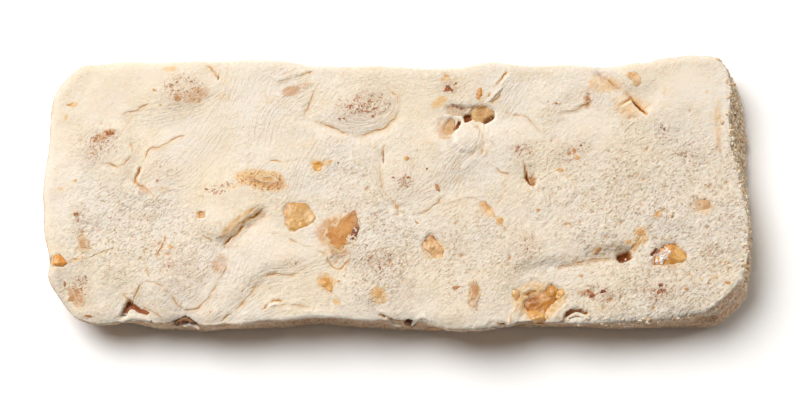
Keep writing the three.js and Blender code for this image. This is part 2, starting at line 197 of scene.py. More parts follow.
def oval(plan, x, y, halfLength, halfWidth, turn, power=2):
    # how far out a point is from an oval's middle, 1 on its outline; a higher power squares the oval
    angle = math.radians(turn)
    dx, dy = plan[:, 0] - x, plan[:, 1] - y
    u = (dx * math.cos(angle) + dy * math.sin(angle)) / halfLength
    v = (dy * math.cos(angle) - dx * math.sin(angle)) / halfWidth
    return (np.abs(u) ** power + np.abs(v) ** power) ** (1 / power)


def rounded(path, parts=3):
    # the same path with its corners eased
    line = [path[0]]
    for i in range(len(path) - 1):
        a, b, c, d = (np.array(path[k]) for k in (max(i - 1, 0), i, i + 1, min(i + 2, len(path) - 1)))
        for k in range(1, parts + 1):
            t = k / parts
            bend = 2 * a - 5 * b + 4 * c - d + t * (3 * (b - c) + d - a)
            line.append(tuple(b + 0.5 * t * (c - a + t * bend)))
    return line


def besidePath(plan, path):
    # distance to a path, signed to its left, and the place of the nearest point in segments from the start
    best = np.full(len(plan), np.inf)
    side, place = np.ones(len(plan)), np.zeros(len(plan))
    for i, ((ax, ay), (bx, by)) in enumerate(zip(path, path[1:])):
        ex, ey = bx - ax, by - ay
        part = np.clip(((plan[:, 0] - ax) * ex + (plan[:, 1] - ay) * ey) / (ex * ex + ey * ey), 0, 1)
        dx, dy = plan[:, 0] - ax - part * ex, plan[:, 1] - ay - part * ey
        distance = np.hypot(dx, dy)
        nearer = distance < best
        best = np.where(nearer, distance, best)
        side = np.where(nearer, np.where(ex * dy - ey * dx < 0, -1, 1), side)
        place = np.where(nearer, i + part, place)
    return best * side, place


def fromEnds(place, path):
    return np.minimum(place, len(path) - 1 - place)


# the slab's broad unevenness, a sum of slanted waves: each is shorter, weaker and turned on from the last
waving = {"count": 8, "longest": 34, "shorter": 0.42, "weaker": 0.35, "turn": 2.39996, "phase": 1.7,
          "lean": 0.05, "height": 0.16}


def waves(points):
    total = 0
    for i in range(waving["count"]):
        turn, angle = 2 * math.pi / (waving["longest"] / (1 + waving["shorter"] * i)), waving["turn"] * i
        along = points[:, 0] * math.cos(angle) + points[:, 1] * math.sin(angle)
        wave = np.sin(turn * along + waving["phase"] * i + waving["lean"] * points[:, 2] * i)
        total = total + wave / (1 + waving["weaker"] * i)
    return waving["height"] * total


def foldRelief(plan, depth, width, lift, reach, path):
    signed, place = besidePath(plan, path)
    crease = -depth * np.exp(-((signed / width) ** 2))
    step = lift * np.tanh(signed / width) * np.exp(-((signed / reach) ** 2))
    return rise(fromEnds(place, path), 0, 0.5) * (crease + step)


def plainRelief(points, up):
    out = waves(points)
    plan = points[:, :2]
    for x, y, halfLength, halfWidth, turn, height in swellings:
        out += up * height * np.exp(-swellingFall * oval(plan, x, y, halfLength, halfWidth, turn) ** 2)
    for shape in folds:
        out += up * foldRelief(plan, *shape)
    for at, reach, depth in hollows:
        out -= depth * bell(points, at, reach)
    return out


def knead(points, normals):
    # the plain slab moved to the bar's form: edges, pushes and the wide relief
    across = points[:, 1] / slab["halfWidth"]
    wander = np.where(across > 0, eased(backEdge, points[:, 0]), eased(frontEdge, points[:, 0]))
    moved = points.copy()
    moved[:, 1] += wander * np.abs(across)
    for at, reach, by in pushes:
        moved += bell(points, at, reach)[:, None] * by
    up = np.maximum(0, normals[:, 2])
    foot = rise(points[:, 2], 0, slab["reliefFrom"])
    return moved + normals * (foot * plainRelief(points, up))[:, None]


def wrap(u, v):
    # the flat grid's rays from the slab's core: its point, the way out and how far out, 1 on the outline
    reachX, reachY = slab["halfLength"] - slab["corner"], slab["halfWidth"] - slab["corner"]
    core = np.stack([np.clip(u, -reachX, reachX), np.clip(v, -reachY, reachY)], axis=1)
    flatCorner = slab["corner"] + (math.pi / 2 - 1) * slab["topRound"]
    s, t = (u - core[:, 0]) / flatCorner, (v - core[:, 1]) / flatCorner
    ray = np.stack([s * np.sqrt(1 - t * t / 2), t * np.sqrt(1 - s * s / 2)], axis=1)
    out = np.hypot(ray[:, 0], ray[:, 1])
    outward = ray / np.maximum(out, 1e-9)[:, None]
    return core, outward, out


def placed(core, outward, radius, z, angle):
    points = np.column_stack([core + outward * radius[:, None], z])
    normals = np.column_stack([outward * np.cos(angle)[:, None], np.sin(angle)])
    return points, normals


def topSheet(u, v):
    core, outward, out = wrap(u, v)
    arc = math.pi / 2 * slab["topRound"]
    inset = (1 - out) * (slab["corner"] - slab["topRound"] + arc)
    angle = np.minimum(inset / slab["topRound"], math.pi / 2)
    back = slab["topRound"] * (1 - np.cos(angle)) + np.maximum(0, inset - arc)
    z = slab["height"] - slab["topRound"] + slab["topRound"] * np.sin(angle)
    return placed(core, outward, slab["corner"] - back, z, angle)


def wallRow(u, v, down, angle):
    # a ring round the wall: down is how far below the top's rounding, angle how far round the foot
    core, outward, _ = wrap(u, v)
    rim = slab["footRound"] * (1 - math.cos(angle))
    z = np.full(len(u), slab["height"] - slab["topRound"] - down - slab["footRound"] * math.sin(angle))
    return placed(core, outward, np.full(len(u), slab["corner"] - rim), z, np.full(len(u), -angle))


# ---- what was drawn, torn and pressed in the surface

# kinds of seam: how dark and wide and deep it is, how far a step in it reaches and how much of that shows
seamKinds = {
    "crack": {"dark": 1.3, "width": 0.3, "depth": 0.6, "reach": 1.8, "shelf": 1},
    "slit": {"dark": 1.15, "width": 0.2, "depth": 0.4, "reach": 1.4, "shelf": 1},
    "crease": {"dark": 0.62, "width": 0.24, "depth": 0.1, "reach": 1.4, "shelf": 0.6},
    "faint": {"dark": 0.45, "width": 0.22, "depth": 0.05, "reach": 1.1, "shelf": 1},
}
# for all seams: how far they waver, over how much of the path they fade in, and how unevenly they show
seamForm = {"waver": 0.2, "shiver": 0.1, "fade": 1.4, "usual": 0.7, "uneven": 1.3, "least": 0.08,
            "most": 1.35}

# kind, how much higher the left side is, path
seams = [
    ("crack", 0.1, [(-53.4, 2.9), (-52.6, 1.8), (-52, 3.5), (-51.3, 5.2)]),
    ("crease", 0.1, [(-51.3, 5.2), (-50.5, 6.8), (-49.7, 8.3), (-47.1, 8.9), (-44.2, 10.6), (-42.5, 10.8)]),
    ("crease", 0, [(-54, 3.5), (-52.8, 2.1), (-50.3, 0.2), (-47.9, -2.1), (-46.9, -3.3)]),
    ("crease", 0.1, [(-60.3, 5.4), (-57.3, 5.2), (-55.7, 4.5), (-53.5, 6.4), (-53.1, 8.1), (-53.6, 9.8)]),
    ("faint", 0.1, [(-55.5, 15), (-54.5, 15.9), (-52.9, 15.9), (-49.5, 17.7)]),
    ("crease", 0, [(-38.6, 24.9), (-37.3, 24.1), (-36.7, 23), (-36.3, 22.4)]),
    ("crease", 0, [(-68.1, 17.7), (-66.9, 17.7), (-66.1, 18)]),
    ("faint", 0.1, [(-34.1, 21.1), (-33.6, 19.2), (-33.8, 18), (-32.6, 17.7)]),
    ("crease", 0.25, [(-25.2, 22), (-24, 21.6), (-20.7, 23), (-18.1, 24.3), (-17.1, 24.9)]),
    ("crease", 0, [(-23.6, 22.9), (-21.8, 23.6), (-20.3, 24.6)]),
    ("faint", 0.1, [(-24, 21.6), (-25.4, 21.6), (-26.2, 20.3), (-26.4, 19), (-26.1, 16.5)]),
    ("crease", 0.1, [(-18.2, 14.4), (-18.3, 16.1), (-17.7, 17.5), (-16.5, 20.7), (-15.3, 22.2)]),
    ("crease", 0.15, [(-17, 14.6), (-13.6, 13.3), (-9.6, 11.7), (-7.9, 11.4), (-4.5, 12.5), (-2.5, 13.1),
                      (-1.1, 14.4), (0.1, 16.1), (0.5, 18.5), (-0.3, 19.9), (-2.5, 22.2)]),
    ("crease", 0.15, [(-1.5, 10), (-2.5, 9), (-3.3, 6.4), (-3.5, 4.8), (-2.7, 0.8), (-1.9, -0.9),
                      (0.5, -3.7), (2.1, -5), (4.5, -5), (6.5, -4), (9.5, -1.3)]),
    ("crease", -0.1, [(-26.2, 5), (-25.2, 5.8), (-24, 5.8), (-23, 5.4)]),
    ("faint", 0, [(-23, 5.4), (-20.6, 6), (-17.8, 6.6)]),
    ("crease", 0.1, [(21.3, 16.1), (24.7, 15.4), (26.3, 15), (27.5, 13.8), (29.3, 11.4)]),
    ("crease", 0.2, [(16.6, 14.4), (17, 12.3), (17.8, 10.8), (17.6, 9.1), (16.6, 7.1)]),
    ("faint", 0.1, [(17.8, 10.8), (19, 10.2), (20, 8.9)]),
    ("crease", 0.25, [(16.2, 10.2), (15.8, 8.1), (15, 6.8), (13.9, 5.8), (12.3, 4.1)]),
    ("faint", 0, [(13.1, 3.5), (12.5, 2.3), (11.7, 0.8), (10.9, -0.6)]),
    ("faint", 0, [(3.9, 14.8), (6.1, 12.1), (7.1, 11), (8.8, 11), (11.6, 11.2)]),
    ("faint", 0.2, [(32.8, 16.3), (34.8, 16.1), (36.4, 16.7), (39.7, 18.6)]),
    ("crack", 0, [(25.6, 6.4), (25.8, 4.5), (26.2, 2.9), (27.1, 1.6), (27.9, 1.6)]),
    ("faint", 0.05, [(31.1, 0.4), (31.5, -1.7), (32.5, -2.9), (34.1, -2.9), (35.3, -1.7), (35.9, 0.4),
                     (35, 2.3), (33.6, 3.1)]),
    ("faint", 0.1, [(19.6, 5), (21.2, 3.7), (23, 3.5)]),
    ("faint", 0.1, [(21.9, 1.8), (21.5, -0.2), (20.5, -2.3), (19.5, -3.5)]),
    ("crack", 0.1, [(22.6, 24.5), (21.3, 22.8), (19.9, 21.1), (18.3, 19.2)]),
    ("crease", 0, [(21.5, 20.7), (20.3, 19.2), (19.1, 17.7)]),
    ("crease", -0.1, [(42.4, 23.7), (44.6, 21.6), (46, 20.5), (47, 19.6)]),
    ("crack", 0, [(47, 19.6), (48.3, 18), (49.5, 16.7), (50.7, 14.8)]),
    ("crack", 0, [(44.7, 17.3), (45.9, 18), (47.6, 19)]),
    ("faint", 0, [(49.5, 16.7), (51, 17.3), (51.8, 17.5)]),
    ("crease", 0.1, [(-65.3, -15.3), (-63.1, -15.1), (-60.7, -14.6), (-57.2, -13.2), (-55.8, -12.8)]),
    ("faint", 0, [(-62.6, -17.3), (-61.5, -16.3), (-60.1, -15.1)]),
    ("crease", 0.1, [(-65.6, -12.8), (-63.2, -12.6), (-60.8, -13)]),
    ("faint", -0.05, [(-49.9, -12), (-50.2, -14.2), (-49.8, -16.7), (-49.1, -18.7), (-47.5, -18.5),
                      (-46.6, -17.1), (-45.8, -13.4)]),
    ("crease", 0.1, [(-55, -21.4), (-53.6, -22.4), (-52.4, -22.6)]),
    ("crease", 0.15, [(-52.4, -22.8), (-51.6, -21.2), (-50.5, -19.7), (-48.9, -19.3), (-47.1, -19.7),
                      (-44.1, -22.2), (-42.9, -23.4), (-41.9, -23.8), (-40.1, -23.4), (-38.5, -22.6),
                      (-36.4, -20.2), (-34.3, -17.1), (-33.7, -15.7)]),
    ("crease", 0.15, [(-51, -23.2), (-49.4, -23.6), (-47.8, -24.2), (-46.4, -25.4), (-44.6, -27.3)]),
    ("slit", -0.1, [(-26.1, -3.3), (-27.9, -4.8), (-29.4, -5.8), (-31.2, -7.3)]),
    ("slit", 0, [(-30.2, -7.1), (-31.8, -8.9), (-33.4, -10.1), (-35.1, -11.8)]),
    ("crease", 0, [(-35.1, -11.8), (-36.1, -11.2), (-37, -10.3), (-40.4, -8.7)]),
    ("faint", 0.1, [(-27.8, -3.6), (-30.2, -5.2), (-32.4, -7), (-34, -9.2)]),
    ("crease", 0.1, [(-35.1, -26.2), (-32, -23.8), (-30.6, -22.8), (-29.2, -21.2), (-26.9, -18.1),
                     (-25.7, -17.5), (-24.1, -17.3), (-20.9, -17.7), (-19, -16.9), (-17.4, -16.1)]),
    ("crack", 0, [(-26.4, -24.2), (-24.9, -22.6), (-23.7, -22.4), (-22.5, -22.6)]),
    ("faint", 0.1, [(-26.8, -24.4), (-24.3, -23.6), (-21.3, -23.6), (-16.9, -24.6)]),
    ("crease", 0.1, [(-25.4, -8.9), (-23.4, -9.1), (-19.4, -11.2), (-15.4, -13), (-14, -13.6)]),
    ("crease", 0.1, [(-14, -13.6), (-13.4, -15.1), (-12.4, -16.3), (-11, -16.3), (-8.9, -13.8)]),
    ("crease", 0.1, [(-5.4, -22.8), (-2.9, -25.2), (-1.5, -26), (1.1, -27.5)]),
    ("faint", 0.1, [(9.5, -2.9), (12.5, -2.1), (14.9, -1.5), (16.9, -2.1)]),
    ("faint", 0, [(15.9, -3.5), (16.5, -7.5), (16.4, -8.9)]),
    ("faint", 0, [(20.5, -6.8), (21.2, -7.9), (22, -8.9)]),
    ("faint", 0, [(29.4, -6.8), (30.4, -8.1), (34.4, -7.1), (35.2, -8.3)]),
    ("faint", 0, [(13.4, -16.3), (15.4, -17.1), (19.4, -17.7)]),
    ("faint", 0, [(23.2, -14), (23.3, -16.7), (22.9, -19.3)]),
    ("crack", 0, [(25.1, -21.2), (26.3, -20.8), (28.3, -20.4)]),
    ("faint", 0.25, [(31.3, -16.3), (35.3, -15.1), (41.3, -14.2), (44.3, -13.8)]),
    ("crease", 0.2, [(22.3, -26), (22.9, -24.6), (23.9, -23.2), (24.7, -22.4)]),
    ("crack", 0, [(33.1, -25.5), (34.1, -24.6), (36.7, -24.8), (38.1, -24.6)]),
    ("crease", 0.1, [(46.3, -12.6), (47.5, -11.2), (48.5, -10.1), (48.7, -8.5)]),
    ("crack", 0.3, [(-55.2, -25.8), (-53, -22.9), (-51.4, -24.1), (-49, -25)]),
    ("crease", 0, [(-46, -9), (-46.9, -12.5), (-48.4, -15.3)]),
    ("crack", 0.2, [(8.5, -28.2), (14, -28.4), (20, -28.2), (24, -27.6)]),
    ("crack", 0.1, [(17.6, -26.2), (19, -25.6), (22, -26)]),
    ("crack", 0.1, [(-4, -24.4), (-2, -25.4), (0.2, -26.4)]),
    ("crease", 0.3, [(-44, -27.4), (-40, -27.8), (-36, -26.6), (-32, -27.2), (-28, -27.6)]),
]

tearSquareness, tearDip = 5, 0.25  # the power of their ovals, and how deep the dark marks lie
# torn openings with sharp rims: x, y, half length, half width, turn, depth, how dark inside, as painted
# shade
tears = [
    (45.4, -13.6, 1.5, 0.95, 22, 1.1, 0.6), (14.4, 15.7, 0.9, 0.8, 10, 1, 0.85),
    (18.7, 15, 1.4, 0.4, 32, 0.9, 0.8), (12.3, 14, 0.4, 1.2, -20, 0.9, 0.8),
    (51.2, -12.8, 1.3, 0.4, 55, 0.3, 0.75), (9.6, 13.3, 2.2, 1.7, 70, 0.35, 0),
    (14, 17, 4.6, 1.1, -6, 0.6, 0), (-42, -27.4, 2.3, 1.3, 4, 0.9, 0.5),
    (2.6, -27.2, 1.1, 1.2, -25, 0.9, 0.7), (35.2, -24.5, 2.2, 0.75, 4, 0.5, 0.6),
    (-39, -5, 0.8, 0.8, 0, 0.5, 0.25), (-11.8, -15, 1.5, 1.3, 0, 0.3, 0),
    (27.2, 2.4, 0.6, 1.1, 25, 0.35, 0.5),
]

# soft marks in the nougat: x, y, half length, half width, turn, strength
marks = {
    "golden": [
        (-45.9, 24.4, 1.6, 0.6, 0, 0.7), (-66.3, 17.6, 1.1, 0.5, 0, 1), (-67.3, 14.8, 0.4, 0.9, 0, 0.7),
        (-35, 18.8, 1.3, 1.1, 0, 0.4), (-13.9, 5.9, 1.2, 0.7, 0, 0.7), (-16.8, 11.2, 0.6, 1.3, 0, 0.4),
        (46.9, 17.4, 3.8, 2.6, -20, 0.6), (41.6, 22, 3.8, 1.9, 0, 0.6), (-11.6, -9, 4, 4.6, -25, 0.7),
        (67.4, 13.4, 2.1, 5, 0, 0.5), (54.1, 19, 0.4, 1.3, 0, 0.5), (63.5, 19, 0.6, 0.4, 0, 0.5),
        (5.6, 10.3, 1.7, 0.6, 0, 0.4), (8.7, 18.9, 1.8, 1, 35, 0.9), (9.9, 23.8, 1.1, 0.4, 0, 0.9),
        (20.5, -6.4, 0.7, 1, 0, 1.1), (18.1, -4.2, 2.2, 1.3, -50, 0.7), (23.9, -4.4, 0.8, 0.4, 0, 0.4),
        (7.3, -11.9, 2.5, 2.5, 0, 0.6), (-3.5, -21.3, 1.6, 1.6, 0, 1), (-13.9, -19.3, 1.9, 1.7, 0, 0.9),
        (-11.9, -23, 1, 0.9, 0, 0.7), (-63.5, -15, 2, 0.4, 5, 0.6), (-45.1, -12, 0.7, 0.6, 0, 0.8),
        (-39.4, -5, 0.9, 0.9, 0, 0.8), (28.5, -22.6, 5.2, 3.4, 0, 0.9), (48.7, -9.6, 1.5, 2, 0, 1),
        (46.1, -10.8, 0.8, 0.6, 0, 0.9), (47.3, -12, 0.7, 2.2, -42, 0.9), (52.1, -5.2, 1, 0.8, 0, 0.9),
        (39.9, -12.7, 1.2, 0.6, 30, 0.9), (54.5, -14.1, 3.4, 2.3, 0, 0.6), (61.3, -3.5, 2.6, 1.9, 0, 0.6),
        (65.5, -19.3, 0.8, 0.5, 0, 0.8), (61.7, -19.3, 0.4, 0.3, 0, 1), (65.9, -15.3, 0.6, 0.4, 0, 0.9),
        (57.3, -20.7, 0.6, 0.6, 0, 0.7), (51.5, -26.7, 0.6, 0.4, 0, 1), (-64.5, 1.8, 0.4, 0.4, 0, 0.9),
        (-67.5, 0.4, 0.6, 0.4, 0, 0.7), (-47, 0, 3.4, 0.7, -5, 0.4), (17, 19.6, 1, 1.7, -10, 0.6),
        # the first mark here, along the big fold's flank, is painted warm shade on that flank
        (-31.6, -6.8, 5, 1, 40, 0.8), (-26.8, 2, 5, 2, -9, 1.1), (-32.4, 0.7, 2.6, 0.7, 12, 0.5),
        (8.6, -28.4, 3.4, 1.6, 0, 0.7), (16.5, 24, 2, 0.6, 0, 0.3),
    ],
    "tan": [
        (-40.5, 18.8, 2.8, 1.6, 15, 0.75), (-44.1, 18.8, 1, 0.8, 0, 0.8), (-44.4, 22.6, 2.6, 1.2, 0, 0.3),
        (-59.1, 10.9, 2.6, 1, 25, 0.9), (-21.4, 20, 2, 1.1, 20, 1), (-18.9, 21.4, 2.4, 0.7, 25, 0.6),
        (-12.4, -10, 2.6, 3.6, -25, 0.35), (-35.3, -15.6, 1.8, 1.9, 0, 0.7), (15.3, -21.3, 1.2, 2.8, 0, 0.9),
        (40.7, 21.5, 4.2, 1.8, 0, 0.3), (-64.7, -22.6, 1.9, 1.1, -50, 0.9), (-60.6, -28, 2.6, 1.4, 0, 0.7),
        (-62.3, -11.8, 1.3, 1.6, 0, 1), (62.5, -12.7, 0.8, 1.8, 15, 0.6), (37.9, -21.3, 2.6, 0.6, -12, 0.8),
        (-50.6, 0.2, 1.5, 0.7, -42, 0.7), (48, 16.2, 5, 2.4, -20, 0.12), (38.5, 18.6, 0.8, 1.8, 0, 0.8),
        (12, 17.4, 3, 0.9, -12, 0.5), (-46.5, 19, 1.4, 1.2, 0, 0.3), (9.6, 12.6, 1.8, 2.2, 0, 0.7),
        (-51, -27.5, 4, 0.9, -8, 0.6), (35.6, -27.4, 1.2, 1, 0, 0.7), (-22, -29.6, 3, 1.4, 0, 0.6),
        (15.2, -27.8, 1.4, 1.2, 0, 0.7), (-42, -28.4, 3, 2.2, 0, 0.9), (67, 9, 1.2, 2, 0, 0.6),
        (-35, -13.8, 1.8, 0.8, -30, 0.5), (-9, -3, 2.4, 1.4, 0, 0.3), (-26, 1.7, 3.8, 1.2, -9, 0.9),
        (-13.6, -8.6, 2.6, 3, -25, 0.8), (-11.4, -12.6, 2.2, 1.8, 0, 0.7),
    ],
    "haze": [
        (-43.5, 19.4, 5.8, 3.8, -10, 1), (-59.9, 8.1, 5.2, 3.4, 35, 1), (-47.9, 3.5, 4.4, 4, 0, 0.6),
        (-32.5, -1.7, 5.2, 1.9, 15, 0.9), (-43.5, -16.8, 4.8, 4.4, 0, 1), (-21.5, -15.1, 3.6, 1.8, 0, 0.6),
        (-5.5, -15.1, 6, 4, 0, 0.9), (0.6, -20.4, 3.4, 3.6, 0, 0.9), (-6.5, 17.4, 6.6, 4, 12, 1.1),
        (1.3, 3.5, 2.8, 5, 0, 0.8), (11.5, 17.8, 2.8, 1.2, -20, 1), (10.1, 21.7, 2.4, 1.6, 0, 1),
        (22.9, 10.1, 3.6, 2.8, 0, 0.5), (24.5, 8.1, 2.8, 1.6, 0, 0.9), (37.5, 19.4, 3.6, 2.8, 0, 0.8),
        (34.9, 7.7, 4.4, 2.4, 25, 0.9), (58.5, 7.4, 3.2, 1.4, 0, 0.8), (53.5, 10.7, 2, 2, 0, 0.6),
        (25.5, -11.2, 3.6, 2.8, 0, 0.9), (10.5, -10.2, 2.8, 2.4, 0, 0.7), (52.9, -21.3, 4, 2.4, 0, 1),
        (40.1, -21.5, 4, 1.6, -10, 0.9), (-63.5, -7.5, 1.8, 3.2, 0, 1), (-62.7, -21.3, 2.4, 3.6, 35, 0.9),
        (-51.5, -5.8, 2.8, 1.4, 0, 0.7), (62.5, -12.7, 2.4, 2.8, 0, 0.6), (-11, -13.6, 1.6, 1.4, 0, 0.8),
        (-9.5, -2.8, 4, 2, 0, 0.6), (-46.7, -24.6, 3.4, 1.4, -20, 0.6), (-38, -21.8, 3.4, 1, 10, 0.8),
        (-62, 14, 8, 4, 20, 0.35), (16, -17, 5, 5, 0, 0.35), (43, 3, 8, 6, 0, 0.3),
        (-28, -21, 5, 2, 25, 0.5),
    ],
    "speck": [
        (-6.5, 17.8, 5.6, 2.8, 10, 1), (-10.5, 14.9, 1.6, 1, 0, 0.9), (-43.5, 20.5, 4.4, 2.8, 0, 0.9),
        (-59.5, 10.1, 3.4, 1.9, 28, 1.1), (-61.1, 6.6, 1.6, 1, 0, 0.9), (-46.5, 3.9, 3.2, 3.2, 0, 0.6),
        (-35.5, 0.2, 4.6, 1.2, 18, 1.1), (-26.6, 1.6, 4.8, 1.9, -10, 1.1), (-11.5, -3.3, 4, 1.8, 0, 0.7),
        (-12.5, -0.3, 2.8, 1.6, 0, 0.5), (-21.1, -15.3, 2, 1, 0, 0.8), (-45.1, -16, 1.6, 1, 40, 0.9),
        (-50.5, -5.8, 2.4, 1, 0, 0.7), (-63.5, -6, 1.2, 1.6, 0, 1.1), (-2.5, -15.1, 5.6, 3, 0, 0.8),
        (1.5, 1.8, 1.8, 1.8, 0, 1.1), (10.5, 21.9, 1.7, 1.4, 0, 1.2), (22.9, 11.4, 2, 1.2, 0, 0.6),
        (25.3, 8.1, 2.4, 1.6, 0, 1), (28.5, 0.8, 2, 1.2, 0, 0.6), (35.5, 8.1, 4.4, 2, 20, 0.8),
        (38.5, 18.8, 0.8, 1.6, 0, 1), (31.7, 17.8, 1.4, 0.8, 0, 0.9), (53.5, 11.8, 0.8, 1.6, 0, 1.1),
        (53.9, 10.1, 1, 0.8, 0, 0.9), (58.5, 7, 2.4, 0.8, 0, 1.1), (26.5, -11.6, 2.8, 2.8, 0, 0.8),
        (10.5, -10.2, 2, 2.4, 0, 0.6), (40.5, -21.3, 4, 1.5, -10, 1.1), (52.5, -21.3, 2.4, 2, 0, 1.1),
        (38.5, -10.6, 2.8, 1.6, 0, 0.6), (61.5, -11.6, 2, 2.4, 0, 0.5), (-62.7, -19.9, 1.6, 1.8, 0, 1.1),
        (-13.5, -20.5, 1.4, 1, -30, 1.2), (11.5, -19.9, 2.4, 1.6, 0, 0.8), (16.1, -23, 1.4, 2, 0, 0.8),
        (-8.5, -9.5, 1, 2, -20, 1.3), (-52, -12, 7, 4, 0, 0.2), (62, -4, 5, 8, 0, 0.25),
    ],
    "dark": [
        (-2.7, 7, 0.4, 1.5, 0, 0.6), (-64, -5.6, 0.8, 0.5, 0, 0.5), (-36.1, 22.5, 0.3, 0.6, 0, 0.7),
        (12.4, 18, 2.2, 0.5, -20, 0.5), (-52, -24.6, 1.6, 0.5, 0, 0.6),
    ],
}

# where the nougat is open and porous: x, y, half length, half width, turn, strength
porousPlaces = [
    (54, -6, 22, 16, 0, 1), (-4, -12, 8, 11, 0, 1), (-54, -9, 12, 9, 0, 0.8), (16, -13, 13, 9, 0, 0.6),
    (34, 2, 8, 7, 0, 0.7), (54, 10, 11, 6, 0, 0.55), (-9, 2, 6, 6, 0, 0.4), (-43, -12, 9, 8, 0, 0.6),
    (-44, 20, 5, 3, 0, 0.4), (52, -24, 20, 6, 0, 1.2), (-60, 9, 5, 4, 30, 0.4),
]
# and where it is smooth
smoothPlaces = [
    (-41, 9, 8, 9, -30, 0.9), (-56, 20, 12, 6, 12, 0.9), (-32, 20, 7, 6, 0, 0.7), (59, 17.5, 10, 6, 0, 1),
    (39, 12, 6, 5, 0, 0.5), (-34, -2.5, 7, 3, 38, 0.5), (-24, -12, 7, 4, -40, 0.4), (4, 19, 7, 4, 0, 0.6),
    (-22, 10, 6, 6, 0, 0.5), (24, 16, 6, 4, 0, 0.5), (-70, 5, 5, 16, 0, 0.6), (-44, -27, 12, 3, 0, 0.5),
]

# fine lines left by pulling: reach, strength, path
flows = [
    (5.5, 0.6, [(-49.5, 0.2), (-42.5, 4.9), (-37.1, 11.2), (-32.5, 19.4), (-30.9, 25)]),
    (3, 0.7, [(-55.5, 14.7), (-46.5, 15.9), (-39.5, 17.6), (-33.9, 21.7)]),
    (4, 0.9, [(-27.1, 8.1), (-25.9, 14.3), (-22.5, 18.4), (-16.5, 22.9)]),
    (4, 0.75, [(-15.9, 12.2), (-19.5, 4.9), (-21.5, -1.3), (-25.1, -4.8)]),
    (5, 0.45, [(-33.1, -23), (-30.5, -15.1), (-27.1, -8.9), (-22.5, -8.1), (-15.9, -12.2)]),
    (3.2, 0.65, [(-38.5, -27.5), (-31.5, -22.6), (-25.9, -18), (-19.5, -17.2), (-12.5, -15.1)]),
    (3, 0.55, [(-33.5, -28), (-27.1, -24.6), (-19.5, -23), (-11.5, -23.4)]),
    (3.4, 0.9, [(8.5, -0.2), (11.5, 6), (15.7, 10.1), (16.5, 13.8)]),
    (3.6, 1, [(20.5, 14.7), (22.9, 18.4), (26.5, 23.4)]),
    (3, 0.7, [(3.5, -2.3), (8.5, 0.8), (12.1, 4.9), (14.5, 8.1)]),
    (5, 0.4, [(51.5, 14.3), (58.5, 14.7), (65.5, 15.9)]),
    (5, 0.5, [(30, -18), (40, -15.5), (52, -15)]),
    (4, 0.5, [(-66, -2), (-60, 0), (-54, 4)]),
    (3, 0.6, [(-2, 22.5), (5, 21.5), (12, 23.8)]),
]
# rings of such lines: x, y, half length, half width, turn, strength
flowRings = [
    (-7.1, 18, 8, 5.6, 10, 0.8), (0.9, 4.3, 4.6, 7.4, 0, 0.5), (22.9, 10.5, 5.8, 5, 0, 0.35),
    (28.1, -2.3, 3.8, 4.8, 0, 0.9), (34.5, 20, 6.8, 4.2, 0, 0.6), (-44, 4.5, 5.5, 5, 0, 0.6),
]

# where loose things lie: x, y, half length, half width, turn, strength
loosePlaces = {
    "crumbs": [(48, -27.3, 12, 1.4, 0, 0.4), (41.5, -28, 1.4, 1, 0, 1), (67.3, -16.8, 1.2, 0.9, 30, 0.8),
               (71.5, 10, 1.6, 12, 0, 0.6), (56, -8, 16, 14, 0, 0.02), (-3, -15, 8, 8, 0, 0.03)],
    "flakes": [(-8.6, -8.7, 0.8, 2.4, -22, 1), (-51.6, -25.2, 1.9, 0.6, -8, 0.7),
               (35.3, -26.6, 1.2, 0.5, 0, 0.5)],
    "skins": [(-8.4, -9.2, 0.9, 2.1, -22, 1), (10.5, 21.7, 1.3, 1, 0, 0.5), (40, -21.6, 3, 1, -12, 0.25),
              (-59.5, 10.6, 2.4, 0.8, 28, 0.4), (52, -21, 1, 1.3, -20, 0.5), (-8, 16.5, 3.5, 1.6, 0, 0.12)],
}

# open pits: how many, their radius, depth and slant, and how much commoner the small and the open are
pits = {"count": 220, "low": 0.2, "high": 0.44, "depth": 0.26, "stretch": 1.5, "turn": 40, "sway": 0.5,
        "smallShare": 2.2, "openShare": 1.5, "seed": 4}

# how crisp the top's rim is, and how far the wall is drawn in below it: x, y, reach in x and y, strength
rims = [
    (68, 14, 4, 11, 1), (69, -8, 4, 14, 0.7), (66, -24, 7, 7, 1), (48, -27, 14, 5, 0.5),
    (20, -27, 9, 4, 0.8), (-12, -27, 16, 4, 0.7), (0, 27, 60, 4, 0.35),
]
undercuts = [
    (17, -27, 9, 5, 0.7), (66, -24, 6, 6, 0.9), (-14, -27, 14, 5, 0.5), (36, -27, 9, 5, 0.3),
    (69, 14, 4, 10, 0.3),
]


# where the cut right end, the wrinkled front corner and the calmer back and left walls begin and are full
zones = {"end": (66.6, 68), "endFront": (-23, -16), "corner": (58, 65), "cornerFront": (16, 23),
         "back": (20, 25), "left": (64, 68), "calm": 0.7}
# the height of each kind of roughness, and at what height and over how much of it the wall is drawn in
skin = {"broad": 0.15, "small": 0.08, "ridges": 0.06, "pores": 0.09, "wall": 0.28, "wallFine": 0.14,
        "end": 0.45, "endFine": 0.4, "wrinkles": 0.9, "drawnAt": 6, "drawnOver": 2.6}
# how soft the edges of the marked places are
edges = {"open": 0.45, "smooth": 0.5, "mark": 0.45, "dark": 0.3, "loose": 0.4}


def oneOf(plan, ovals, soft, distort):
    # the strongest of a list of soft-edged ovals at each point
    level = np.zeros(len(plan))
    for *place, strength in ovals:
        out = oval(plan, *place) + distort
        level = np.maximum(level, strength * (1 - rise(out, 1 - soft, 1 + soft)))
    return level


